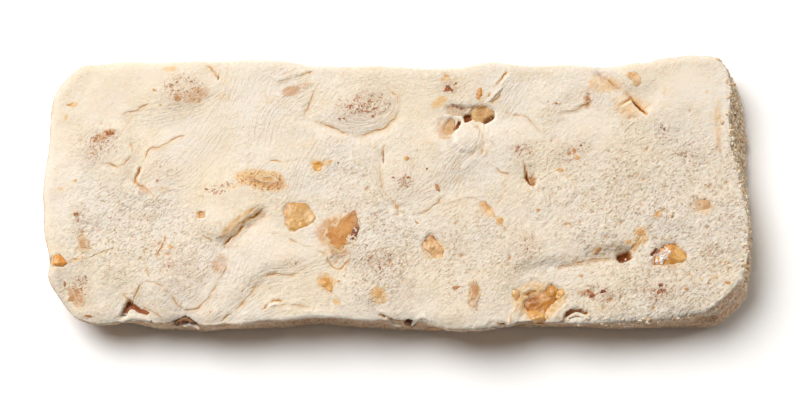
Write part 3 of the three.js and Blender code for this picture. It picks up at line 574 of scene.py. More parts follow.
class Layers:
    # attributes shared by marks that lie apart: each mark goes to the layer where it meets others least
    def __init__(self, number, count):
        self.data, self.held = np.zeros((number, count, 3)), np.zeros((number, count))

    def add(self, where, weight, rows):
        layer = int(np.argmin([np.minimum(held[where], weight).sum() for held in self.held]))
        wins = weight > self.held[layer][where]
        self.data[layer][where[wins]] = rows[wins]
        self.held[layer][where[wins]] = weight[wins]


def nearPath(sheet, path, margin):
    xs, ys = np.array(path).T
    return np.flatnonzero((sheet[:, 0] > xs.min() - margin) & (sheet[:, 0] < xs.max() + margin)
                          & (sheet[:, 1] > ys.min() - margin) & (sheet[:, 1] < ys.max() + margin))


def seamRelief(sheet):
    # the height that the seams add, and for the material layers of signed distance, darkness and nearness
    height, layers = np.zeros(len(sheet)), Layers(4, len(sheet))
    for kind, step, path in seams:
        look = seamKinds[kind]
        path = rounded(path)
        where = nearPath(sheet, path, 2.2 * look["reach"])
        signed, place = besidePath(sheet[where], path)
        shifted = signed + seamForm["waver"] * rough(sheet[where], 1.3, 61)
        shifted = shifted + seamForm["shiver"] * rough(sheet[where], 0.6, 62)
        inner = rise(fromEnds(place, path), 0, seamForm["fade"])
        strength = seamForm["usual"] + seamForm["uneven"] * rough(sheet[where], 1.9, 63, 2)
        strength = np.clip(strength, seamForm["least"], seamForm["most"])
        width, depth = look["width"], look["depth"]
        groove = -depth * strength * np.exp(-((shifted / width) ** 2))
        lips = 0.3 * depth * np.exp(-(((np.abs(shifted) - 2 * width) / (1.2 * width)) ** 2))
        shelf = look["shelf"] * step * np.tanh(shifted / width) * np.exp(-((shifted / look["reach"]) ** 2))
        height[where] += inner * (groove + lips + shelf)
        closeness = 1 - rise(np.abs(shifted), 0.8, 1.3)
        rows = np.column_stack([shifted, look["dark"] * strength * inner, closeness])
        layers.add(where, closeness * inner, rows)
    return height, layers.data


def flowLayers(sheet):
    # layers of place along and across the pulled lines, and their strength
    layers = Layers(3, len(sheet))
    for reach, strength, path in flows:
        path = rounded(path, 5)
        where = nearPath(sheet, path, 1.8 * reach)
        signed, place = besidePath(sheet[where], path)
        lengths = np.append(0, np.cumsum(np.hypot(*np.diff(np.array(path), axis=0).T)))
        along = np.interp(place, np.arange(len(path)), lengths)
        share = strength * np.exp(-((signed / reach) ** 2)) * rise(fromEnds(place, path), 0, 2.5)
        layers.add(where, share, np.column_stack([along, signed, share]))
    for x, y, halfLength, halfWidth, turn, strength in flowRings:
        out = oval(sheet, x, y, halfLength, halfWidth, turn)
        where = np.flatnonzero(out < 1.3)
        out = out[where]
        around = np.arctan2(sheet[where, 1] - y, sheet[where, 0] - x)
        whole = 1 - rise(np.abs(around), 2.8, 3.1)
        share = strength * (1 - rise(out, 0.9, 1.3)) * rise(out, 0.1, 0.4) * whole
        size = min(halfLength, halfWidth)
        layers.add(where, share, np.column_stack([around * size, out * size, share]))
    return layers.data


def pitRelief(plan, porous, grid):
    # open pits, each pressed into the few points round it, and the painted shade in each
    rng = np.random.default_rng(pits["seed"])
    depth, shade = np.zeros(len(plan)), np.zeros(len(plan))
    angle = math.radians(pits["turn"])
    made = 0
    while made < pits["count"]:
        middle = rng.integers(grid[0] * grid[1])
        draw, size = rng.random(), rng.random() ** pits["smallShare"]
        turn = angle + rng.normal(0, pits["sway"])
        if draw > porous[middle] ** pits["openShare"]:
            continue
        made += 1
        radius = pits["low"] + (pits["high"] - pits["low"]) * size
        span = int(2.6 * radius * pits["stretch"] / slab["cell"]) + 1
        row, column = divmod(middle, grid[1])
        rows = np.arange(max(0, row - span), min(grid[0], row + span + 1))
        columns = np.arange(max(0, column - span), min(grid[1], column + span + 1))
        where = (rows[:, None] * grid[1] + columns[None, :]).ravel()
        out = oval(plan[where], *plan[middle], radius * pits["stretch"], radius, math.degrees(turn))
        well = np.exp(-(out**2) * 1.3)
        depth[where] = np.maximum(depth[where], pits["depth"] * (0.5 + size) * well)
        shade[where] = np.maximum(shade[where], (0.15 + 0.6 * size) * well)
    return depth, shade


def atPlaces(points, places):
    # the strongest of a list of soft places at each point
    level = np.zeros(len(points))
    for x, y, reachX, reachY, strength in places:
        away = ((points[:, 0] - x) / reachX) ** 2 + ((points[:, 1] - y) / reachY) ** 2
        level = np.maximum(level, strength * np.exp(-(away**2)))
    return level


def rimRelief(points, normals):
    # turns the rounded rim into a corner and draws the wall in below it
    angle = np.arcsin(np.clip(normals[:, 2], 0, 1))
    sharp = np.minimum(1 / np.maximum(0.2, np.cos(angle)), 1 / np.maximum(0.2, np.sin(angle))) - 1
    crisp = atPlaces(points, rims) * slab["topRound"] * np.where(normals[:, 2] > 0, sharp, 0)
    below = np.exp(-(((points[:, 2] - skin["drawnAt"]) / skin["drawnOver"]) ** 2)) * (normals[:, 2] <= 0.05)
    return crisp - atPlaces(points, undercuts) * below


def wallZones(sheet, side):
    # how far a point belongs to the cut right end and to the wrinkled corner, and how rough the wall may be
    x, y = sheet.T
    rightEnd = rise(x, *zones["end"]) * rise(y, *zones["endFront"]) * side
    corner = rise(x, *zones["corner"]) * rise(-y, *zones["cornerFront"]) * side
    calm = 1 - zones["calm"] * np.maximum(rise(y, *zones["back"]), rise(-x, *zones["left"])) * (1 - rightEnd)
    return rightEnd, corner, calm


def skinRelief(points, porous, rightEnd, corner):
    # the roughness all over, what the walls add to it, and how deep a point lies in it
    broad = rough(points, 5, 21, 2)
    ridged = 1 - 2 * np.abs(rough(points, 1.5, 27, 2))
    soft = skin["broad"] * broad + skin["small"] * rough(points, 1.8, 22, 2)
    soft += porous * (skin["ridges"] * ridged + skin["pores"] * rough(points, 0.9, 23, 2))
    stretched = points * (0.3, 1, 1)
    walls = skin["wall"] * rough(stretched, 1.5, 24, 2) + skin["wallFine"] * rough(points, 0.9, 29)
    walls += rightEnd * (skin["end"] * rough(points, 1.5, 25, 2) + skin["endFine"] * rough(points, 0.8, 26))
    around = np.stack([(points[:, 0] + points[:, 1]) * 0.16, points[:, 2] * 0.55], axis=1)
    walls += corner * skin["wrinkles"] * (1 - 2 * np.abs(rough(around, 1.4, 28, 2)))
    sunk = np.clip(-4 * (soft - 0.13 * broad) - 0.1, 0, 1)
    return soft, walls, sunk


def fineRelief(points, normals, sheet, grid):
    # how far each point moves out along its normal, and what the materials and the loose things read
    up = np.maximum(0, normals[:, 2])
    side = 1 - up**2
    blotch = 0.25 * rough(sheet, 2.4, 11, 2)
    openness = np.minimum(1, oneOf(sheet, porousPlaces, edges["open"], blotch))
    smooth = oneOf(sheet, smoothPlaces, edges["smooth"], blotch)
    porous = 0.5 + 0.5 * openness - 0.5 * smooth * (1 - openness)
    rightEnd, corner, calm = wallZones(sheet, side)
    seamHeight, seamData = seamRelief(sheet)
    pitDepth, pitShade = np.zeros(len(sheet)), np.zeros(len(sheet))
    onTop = grid[0] * grid[1]
    pitDepth[:onTop], pitShade[:onTop] = pitRelief(sheet[:onTop], openness[:onTop], grid)
    soft, walls, sunk = skinRelief(points, porous, rightEnd, corner)
    sunk = sunk * openness
    fine = rimRelief(points, normals)
    fine += soft + side * walls * calm + seamHeight - up * pitDepth
    for *place, height, edge in lobes:
        fine += up * height * (1 - rise(oval(sheet, *place) + 0.4 * blotch, 1 - edge, 1 + 0.4 * edge))
    dark = oneOf(sheet, marks["dark"], edges["dark"], blotch)
    fine -= tearDip * dark
    for *place, depth, shade in tears:
        inside = 1 - rise(oval(sheet, *place, tearSquareness) + 0.6 * blotch, 0.78, 1.1)
        fine -= depth * inside
        dark = np.maximum(dark, shade * inside)
    kinds = ("golden", "tan", "haze", "speck")
    level = {key: oneOf(sheet, marks[key], edges["mark"], blotch) for key in kinds}
    attributes = {
        "stain": np.column_stack([level["golden"], level["tan"], level["haze"]]),
        "touch": np.column_stack([np.maximum(porous, rightEnd), level["speck"], side]),
        # painted shade inside torn places and dark marks, painted shade in pits and low spots, and where the
        # right end is
        "deep": np.column_stack([dark, np.maximum(pitShade * up, 0.4 * sunk), rightEnd]),
    }
    loose = {key: oneOf(sheet, places, edges["loose"], blotch) for key, places in loosePlaces.items()}
    crumbs = np.maximum(loose["crumbs"], 0.9 * rightEnd) * rise(points[:, 2], 1, 2.5)
    attributes["loose"] = np.column_stack([crumbs, loose["flakes"], loose["skins"]])
    for i, data in enumerate(seamData):
        attributes[f"seam{i}"] = data
    for i, data in enumerate(flowLayers(sheet)):
        attributes[f"flow{i}"] = data
    return fine, attributes


def slabRings():
    # the top as a grid, then rings down the wall and round the foot, with flat coordinates over all of them
    grow = (math.pi / 2 - 1) * slab["topRound"]
    flatX, flatY = slab["halfLength"] + grow, slab["halfWidth"] + grow
    columns, rows = round(2 * flatX / slab["cell"]) + 1, round(2 * flatY / slab["cell"]) + 1
    across, along = np.linspace(-flatX, flatX, columns), np.linspace(-flatY, flatY, rows)
    u, v = (flat.ravel() for flat in np.meshgrid(across, along, indexing="ij"))
    index = np.arange(columns * rows).reshape(columns, rows)
    points, normals = topSheet(u, v)
    sheets = [np.column_stack([u, v])]
    rim = np.concatenate([index[:-1, 0], index[-1, :-1], index[:0:-1, -1], index[0, :0:-1]])
    outward = wrap(u[rim], v[rim])[1]
    wallHeight = slab["height"] - slab["topRound"] - slab["footRound"] + slab["footTrim"]
    wallRows = round(wallHeight / slab["wallCell"])
    footEnd = math.asin(1 - slab["footTrim"] / slab["footRound"])
    footRows = round(slab["footRound"] * footEnd / slab["wallCell"])
    rings = [rim]
    for i in range(1, wallRows + footRows + 1):
        down = wallHeight * min(i, wallRows) / wallRows
        angle = footEnd * max(0, i - wallRows) / footRows
        ringPoints, ringNormals = wallRow(u[rim], v[rim], down, angle)
        rings.append(len(points) + np.arange(len(rim)))
        points, normals = np.concatenate([points, ringPoints]), np.concatenate([normals, ringNormals])
        sheets.append(sheets[0][rim] + outward * (down + angle * slab["footRound"]))
    return points, normals, np.concatenate(sheets), index, rings


def slabFloor(outline):
    # the flat underside inside its outline
    step, (reachX, reachY) = slab["floorCell"], slab["floorReach"]
    middle = outline.mean(axis=0)
    arms = outline - middle
    inset = 1 - slab["floorInset"] / np.linalg.norm(arms, axis=1)
    edge = [Vector(p) for p in middle + arms * inset[:, None]]
    inner = []
    for i, x in enumerate(np.arange(-reachX, reachX, step)):
        for y in np.arange(-reachY, reachY, step) + (step / 2 if i % 2 else 0):
            if insideOutline((x, y), edge):
                inner.append(Vector((x, y)))
    border = [(i, (i + 1) % len(outline)) for i in range(len(outline))]
    found = delaunay_2d_cdt([Vector(p) for p in outline] + inner, border, [], 1, 1e-7)
    return np.array([(p.x, p.y, 0) for p in found[0][len(outline):]]), found[2]


def buildSlab():
    points, normals, sheet, index, rings = slabRings()
    fine, attributes = fineRelief(points, normals, sheet, index.shape)
    grain = fine * rise(points[:, 2], 0, slab["grainFrom"])
    finished = knead(points, normals) + normals * grain[:, None]
    finished[rings[-1], 2] = 0
    return finished, normals, attributes, index, rings


def neighbourPairs(index, rings):
    pairs = [np.stack([index[:-1].ravel(), index[1:].ravel()], axis=1),
             np.stack([index[:, :-1].ravel(), index[:, 1:].ravel()], axis=1)]
    for above, below in zip(rings, rings[1:]):
        pairs += [np.stack([above, below], axis=1), np.stack([below, np.roll(below, -1)], axis=1)]
    return np.concatenate(pairs)


def hollowness(points, normals, pairs, rounds):
    # how far each point lies under the surface smoothed that many times
    first, second = pairs.T
    degree = np.bincount(pairs.ravel(), minlength=len(points))
    soft = points.copy()
    for _ in range(rounds):
        for axis in range(3):
            total = np.bincount(first, soft[second, axis], len(points))
            total += np.bincount(second, soft[first, axis], len(points))
            soft[:, axis] = 0.5 * soft[:, axis] + 0.5 * total / degree
    return np.sum((soft - points) * normals, axis=1)


def sheetFaces(index, rings):
    # the squares of the top's grid and of the rings below it
    quads = [np.stack([index[:-1, :-1].ravel(), index[1:, :-1].ravel(), index[1:, 1:].ravel(),
                       index[:-1, 1:].ravel()], axis=1)]
    for above, below in zip(rings, rings[1:]):
        quads.append(np.stack([above, below, np.roll(below, -1), np.roll(above, -1)], axis=1))
    return np.concatenate(quads).tolist()


def closeSlab(finished, attributes, index, rings):
    # adds the underside and gives the faces of the whole slab
    ring = rings[-1]
    floorPoints, floorFaces = slabFloor(finished[ring, :2])
    numbers = np.concatenate([ring, len(finished) + np.arange(len(floorPoints))])
    finished = np.concatenate([finished, floorPoints])
    faces = sheetFaces(index, rings)
    faces += [[int(numbers[i]) for i in reversed(face)] for face in floorFaces]
    bottom = np.zeros((len(floorPoints), 3))
    attributes = {name: np.concatenate([data, bottom]) for name, data in attributes.items()}
    return finished, faces, attributes


def insideOutline(point, outline):
    x, y = point
    inside = False
    for a, b in zip(outline, outline[1:] + outline[:1]):
        if (a.y > y) != (b.y > y) and x < a.x + (y - a.y) / (b.y - a.y) * (b.x - a.x):
            inside = not inside
    return inside


def inScene(name, data):
    # a new object in the scene that shows a mesh, a lamp or a camera
    made = bpy.data.objects.new(name, data)
    bpy.context.collection.objects.link(made)
    return made


def meshPiece(name, points, faces, attributes):
    mesh = bpy.data.meshes.new(name)
    mesh.from_pydata((np.asarray(points) * mm).tolist(), [], faces)
    for key, data in attributes.items():
        layer = mesh.attributes.new(key, "FLOAT_VECTOR", "POINT")
        layer.data.foreach_set("vector", np.asarray(data, dtype=np.float32).ravel())
    mesh.polygons.foreach_set("use_smooth", [True] * len(mesh.polygons))
    mesh.update()
    return inScene(name, mesh)


points, normals, attributes, index, rings = buildSlab()
low, high = (np.array(corner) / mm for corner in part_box("nougat"))
slabMiddle = (points.min(axis=0) + points.max(axis=0)) / 2
points[:, :2] += (low + high)[:2] / 2 - slabMiddle[:2]
print("slab shaped", len(points))

# ---- node trees


class Wire:
    # one output of a node: arithmetic on it adds Math nodes
    def __init__(self, bench, socket):
        self.bench, self.socket = bench, socket

    def out(self, name):
        return Wire(self.bench, self.socket.node.outputs[name])

    def __add__(self, other):
        return self.bench.math("ADD", self, other)

    def __sub__(self, other):
        return self.bench.math("SUBTRACT", self, other)

    def __rsub__(self, other):
        return self.bench.math("SUBTRACT", other, self)

    def __mul__(self, other):
        return self.bench.math("MULTIPLY", self, other)


    __radd__ = __add__
    __rmul__ = __mul__


class Bench:
    # a node tree and the one way of adding a node to it
    def __init__(self, tree):
        self.tree = tree

    def node(self, kind, settings=None, values=None, out=0):
        made = self.tree.nodes.new(kind)
        for name, setting in (settings or {}).items():
            setattr(made, name, setting)
        for key, value in (values or {}).items():
            if isinstance(value, Wire):
                self.tree.links.new(value.socket, made.inputs[key])
            else:
                made.inputs[key].default_value = value
        return Wire(self, made.outputs[out]) if len(made.outputs) else made

    def math(self, operation, *values):
        return self.node("ShaderNodeMath", {"operation": operation}, dict(enumerate(values)))

    def rise(self, value, low, high):
        # eases from 0 at low to 1 at high
        return self.node("ShaderNodeMapRange", {"interpolation_type": "SMOOTHSTEP"},
                         {0: value, 1: low, 2: high, 3: 0.0, 4: 1.0})

    def blend(self, factor, first, second):
        return self.node("ShaderNodeMix", {"data_type": "RGBA"}, {0: factor, 6: first, 7: second}, 2)

    def attribute(self, name):
        vector = self.node("ShaderNodeAttribute", {"attribute_name": name}, {}, "Vector")
        parts = self.node("ShaderNodeSeparateXYZ", {}, {0: vector})
        return parts.out("X"), parts.out("Y"), parts.out("Z")

    def noise(self, place, size, detail=2.0, roughness=0.5):
        # from 0 to 1, with features of that size in millimetres
        return self.node("ShaderNodeTexNoise", {}, {"Vector": place, "Scale": 1 / (size * mm),
                                                    "Detail": detail, "Roughness": roughness})

    def cells(self, place, size):
        # how far a point is from the middle of its cell
        return self.node("ShaderNodeTexVoronoi", {}, {"Vector": place, "Scale": 1 / (size * mm)})

    def bump(self, height):
        return self.node("ShaderNodeBump", {}, {"Strength": 1.0, "Distance": mm, "Height": height})


def tone(*colour):
    # a colour given as it looks on a screen: red, green and blue from 0 to 255
    linear = [c / 3294.6 if c <= 10.31 else ((c / 255 + 0.055) / 1.055) ** 2.4 for c in colour]
    return (*linear, 1.0)


def newMaterial(name):
    material = bpy.data.materials.new(name)
    material.use_nodes = True
    material.node_tree.nodes.clear()
    return material, Bench(material.node_tree)


def finishMaterial(bench, values):
    shader = bench.node("ShaderNodeBsdfPrincipled", {"subsurface_method": "RANDOM_WALK"}, values)
    bench.node("ShaderNodeOutputMaterial", {}, {"Surface": shader})


# some of these tones stand in for light: shade is painted shade in low grain and hollows, the near white
# painted highlights, the pit tone mostly painted shade in pits and pores, the darkest browns painted shade
# in cracks and torn openings, and the palest wall tone partly painted light on the cut right end
nougatLook = {
    "pale": (230, 219, 204), "cream": (229, 214, 190), "warm": (225, 204, 169), "wall": (216, 156, 98),
    "wallLight": (255, 234, 202), "wallDark": (184, 124, 78), "shade": (200, 148, 92),
    "paintedHighlight": (252, 245, 232), "pit": (200, 146, 86), "golden": (226, 182, 118), "tan": (200, 146, 94),
    "amberLine": (200, 142, 74), "crackAndHoleShade": (128, 64, 26), "deep": (88, 40, 16), "haze": (216, 197, 175),
    "speck": (160, 108, 62), "rust": (166, 94, 42), "roughness": 0.66, "subsurface": 0.25, "depth": 0.0006,
}


def seamLines(bench, small):
    # how near the middle of a seam a point is: its coloured line, whose dark core is painted shade, the glow
    # beside it and its groove
    line, glow, groove = 0, 0, 0
    for i in range(4):
        away, strength, near = bench.attribute(f"seam{i}")
        away = bench.math("ABSOLUTE", away + (small - 0.5) * 0.4)
        reach = near * strength
        line = bench.math("MAXIMUM", line, (1 - bench.rise(away, 0.02, strength * 0.22 + 0.08)) * reach)
        glow = bench.math("MAXIMUM", glow, (1 - bench.rise(away, 0.1, 0.8)) * reach)
        groove = bench.math("MAXIMUM", groove, (1 - bench.rise(away, 0.0, 0.24)) * reach)
    return line, glow, groove


def flowLines(bench):
    # the relief of the fine pulled lines, about 0 in the middle
    height = 0
    for i in range(3):
        along, across, share = bench.attribute(f"flow{i}")
        place = bench.node("ShaderNodeCombineXYZ", {}, {0: along * 0.25, 1: across * 2.0, 2: float(3 * i)})
        lines = bench.node("ShaderNodeTexNoise", {}, {"Vector": place, "Scale": 1.0, "Detail": 3.0,
                                                      "Roughness": 0.6})
        height = height + (lines - 0.5) * share
    return height


def slanted(bench, place, turn, length, width):
    # noise drawn out in one direction, from 0 to 1
    size = (length * mm, width * mm, width * mm)
    spot = bench.node("ShaderNodeMapping", {"vector_type": "TEXTURE"},
                      {"Vector": place, "Rotation": (0, 0, math.radians(turn)), "Scale": size})
    return bench.node("ShaderNodeTexNoise", {}, {"Vector": spot, "Scale": 1.0, "Detail": 3.0,
                                                 "Roughness": 0.62})


def nougatMaterial(look):
    material, bench = newMaterial("nougat")

    def over(colour, share, key):
        # that much of one of its tones laid over a colour
        return bench.blend(share, colour, tone(*look[key]))

    place = bench.node("ShaderNodeTexCoord", {}, {}, "Object")
    golden, tan, haze = bench.attribute("stain")
    porous, speck, wall = bench.attribute("touch")
    dark, pit, rightEnd = bench.attribute("deep")
    hollow, basin, _ = bench.attribute("hollow")
    broad, middle = bench.noise(place, 14, 3), bench.noise(place, 3.2, 3)
    small, grain = bench.noise(place, 0.9, 3, 0.6), bench.noise(place, 0.36, 2, 0.7)
    ridges, flow = slanted(bench, place, 42, 0.95, 0.33), flowLines(bench)
    # how strongly the grain shows, in its bump and in its painted shade and highlights
    grainReliefAndShade = (porous * 0.85 + 0.14) * (bench.rise(middle, 0.36, 0.62) * 0.6 + 0.5)

    # cream and its soft marks
    colour = bench.blend(bench.rise(broad, 0.35, 0.7), tone(*look["pale"]), tone(*look["cream"]))
    colour = over(colour, bench.rise(middle, 0.45, 0.8) * 0.5, "warm")
    ragged = grain * 0.7 + small * 0.9 + ridges * 0.3 - 0.95
    veil = bench.rise(haze + middle * 0.5 + ragged * 0.4 - 0.25, 0.1, 1.2)
    colour = over(colour, veil * 0.6, "haze")
    colour = over(colour, bench.rise(golden + ragged, 0.15, 0.85) * 0.85, "golden")
    colour = over(colour, bench.rise(tan + ragged, 0.2, 0.9) * 0.75, "tan")

    # walls: coarser, browner, granular; the cut right end is made paler, as painted light on that shaded
    # side
    crumb = bench.noise(place, 0.7, 3, 0.7)
    paleGrainAndLitEnd = bench.rise(crumb, 0.42, 0.58) * (rightEnd * 0.3 + 0.6) + rightEnd * 0.8
    darkWall = (1 - bench.rise(crumb, 0.38, 0.46)) * 0.65
    darkWall = darkWall + bench.rise(middle, 0.5, 0.7) * (0.3 - rightEnd * 0.3)
    sides = bench.blend(paleGrainAndLitEnd, tone(*look["wall"]), tone(*look["wallLight"]))
    sides = over(sides, darkWall * (1 - rightEnd * 0.5), "wallDark")
    colour = bench.blend(bench.rise(wall, 0.55, 1.0) * (rightEnd * 0.1 + 0.85), colour, sides)

    # painted shade in what lies lower in the grain and in hollows, painted highlights on what stands up
    fine = grain * 0.45 + ridges * 0.55 + flow * 0.3
    colour = over(colour, bench.rise(0.5 - fine, 0.05, 0.14) * (grainReliefAndShade * 0.42 + 0.05), "shade")
    colour = over(colour, bench.rise(fine, 0.46, 0.62) * (grainReliefAndShade * 0.55 + 0.1), "paintedHighlight")
    colour = over(colour, bench.rise(hollow, 0.03, 0.16) * 0.5 + bench.rise(basin, 0.12, 0.8) * 0.5, "shade")
    colour = over(colour, bench.rise(0 - hollow, 0.02, 0.12) * 0.5, "paintedHighlight")

    # nicks, pores and specks; the pit tone is painted shade in the pits, pores and low spots, and partly the
    # nicks' own golden brown
    openness = bench.rise(porous, 0.45, 1.0)
    nicks = bench.rise(slanted(bench, place, 38, 0.85, 0.32), 0.59, 0.65) * (openness * 0.6 + porous * 0.4)
    pores = 1 - bench.rise(bench.cells(place, 0.8) + (small - 0.5) * 0.5, 0.06, 0.22)
    pores = pores * bench.rise(middle, 0.42, 0.58)
    pores = pores * (openness * 0.8 + 0.1)
    holes = bench.math("MAXIMUM", bench.math("MAXIMUM", pit * 0.9, nicks * 0.6), pores * 0.75)
    colour = over(colour, holes, "pit")
    coarse, dots = bench.noise(place, 1.1, 4, 0.8), bench.noise(place, 0.45, 2, 0.6)
    spots = bench.rise(coarse + speck * 0.12, 0.67, 0.71) + bench.rise(dots + speck * 0.12, 0.68, 0.74) * 0.7
    reddish = bench.blend(bench.rise(middle, 0.45, 0.55), tone(*look["speck"]), tone(*look["rust"]))
    colour = bench.blend(spots * bench.rise(speck + ragged, 0.1, 0.6) * 0.85, colour, reddish)

    # seams and torn places: a golden glow beside the seams, partly painted glow of light in the nougat,
    # their amber lines, and dark cores that are painted shade in cracks, creases and torn openings
    line, glow, groove = seamLines(bench, small)
    colour = over(colour, glow * 0.45, "golden")
    colour = over(colour, bench.rise(line, 0.1, 0.8) * 0.75, "amberLine")
    colour = over(colour, bench.rise(line, 0.8, 1.15) * 0.9, "crackAndHoleShade")
    torn = dark + (small - 0.5) * 0.5
    colour = over(colour, bench.rise(torn, 0.3, 0.7), "crackAndHoleShade")
    colour = over(colour, bench.rise(torn, 0.8, 1.2) * 0.8, "deep")

    height = grain * (grainReliefAndShade * 0.12 + 0.04) + ridges * (grainReliefAndShade * 0.31 + 0.02)
    height = height + small * (porous * 0.36 + 0.1) + middle * 0.1
    height = height + flow * 0.5 - groove * 0.14 - nicks * 0.12 - pores * 0.24
    height = height + bench.rise(wall, 0.5, 1.0) * (grain * 0.35 + crumb * 0.9)
    height = height + (grain * 0.5 + crumb * 1.1) * rightEnd
    finishMaterial(bench, {
        "Base Color": colour, "Roughness": look["roughness"], "IOR": 1.42, "Specular IOR Level": 0.3,
        "Subsurface Weight": look["subsurface"], "Subsurface Radius": (1.0, 0.62, 0.36),
        "Subsurface Scale": look["depth"], "Normal": bench.bump(height),
    })
    return material


brittleLook = {"film": (230, 212, 184), "stain": (176, 106, 36), "stained": 0.35, "roughness": 0.36,
               "coat": 0.35, "subsurface": 0.15, "depth": 0.0006, "grain": 0.08, "dusty": 0.1}
nutLook = {"film": (228, 208, 180), "stain": (174, 108, 52), "stained": 0.4, "roughness": 0.6, "coat": 0.03,
           "subsurface": 0.15, "depth": 0.0005, "grain": 0.22, "dusty": 0.2}


def pieceMaterial(name, look):
    # its colours are in each piece's own tints, its film, shine and powder in its cover
    material, bench = newMaterial(name)
    place = bench.node("ShaderNodeTexCoord", {}, {}, "Object")
    film, shine, powder = bench.attribute("cover")
    tint = bench.node("ShaderNodeAttribute", {"attribute_name": "tint"}, {}, "Color")
    veil = bench.node("ShaderNodeAttribute", {"attribute_name": "veil"}, {}, "Color")
    small, grain = bench.noise(place, 0.9, 3, 0.65), bench.noise(place, 0.4, 2, 0.65)
    colour = bench.blend((1 - bench.rise(small, 0.36, 0.52)) * look["stained"], tint, tone(*look["stain"]))
    dust = bench.rise(grain * 0.5 + small * 0.5, 0.52, 0.66) * look["dusty"]
    colour = bench.blend(dust, colour, tone(*look["film"]))
    cover = film + powder * (grain * 1.6 + small * 1.2 - 0.9) + (grain - 0.5) * film * 1.6
    cover = bench.rise(cover, 0.25, 0.85)
    colour = bench.blend(cover * 0.95, colour, bench.blend(small, veil, tone(*look["film"])))
    height = small * 0.2 + grain * look["grain"] + cover * 0.1
    finishMaterial(bench, {
        "Base Color": colour, "Roughness": cover * 0.3 + look["roughness"], "IOR": 1.5,
        "Subsurface Weight": look["subsurface"], "Subsurface Radius": (1.0, 0.5, 0.2),
        "Subsurface Scale": look["depth"], "Coat Weight": (1 - cover) * shine * look["coat"],
        "Coat Roughness": 0.18, "Normal": bench.bump(height),
    })
    return material


materials = {
    "nougat": nougatMaterial(nougatLook),
    "brittle": pieceMaterial("brittle", brittleLook),
    "nut": pieceMaterial("nut", nutLook),
}
print("materials made")

# ---- the nut and brittle pieces: lumps in the top, and the solids' own forms on the sides and underneath


def treeOf(points, faces):
    return BVHTree.FromPolygons([Vector(p) for p in points], faces)


surface = treeOf(points, sheetFaces(index, rings))


# what shows of each piece: its outline on the top, its colours, on which side its rim is darkened by painted
# shade, how far in it is filmed over, how powdered, glossy, domed, bumpy and sunk it is; what is left out is
# as in usualPiece
usualPiece = {
    "brittle": {"body": (202, 150, 84), "light": (218, 178, 126), "rim": (162, 98, 44), "shadedSideAt": 120,
                "rimShare": 0.3, "soft": 0.25, "powder": 0.1, "shine": 0.7, "dome": 0.2, "sunk": 0.15,
                "cap": 0.9, "veil": (224, 198, 158), "bumpy": 0.25},
    "nut": {"body": (196, 146, 98), "light": (212, 172, 130), "rim": (158, 100, 58), "shadedSideAt": 120,
            "rimShare": 0.15, "soft": 0.45, "powder": 0.3, "shine": 0.3, "dome": 0.15, "sunk": 0.1,
            "cap": 0.8, "veil": (222, 194, 158), "bumpy": 0.12},
}
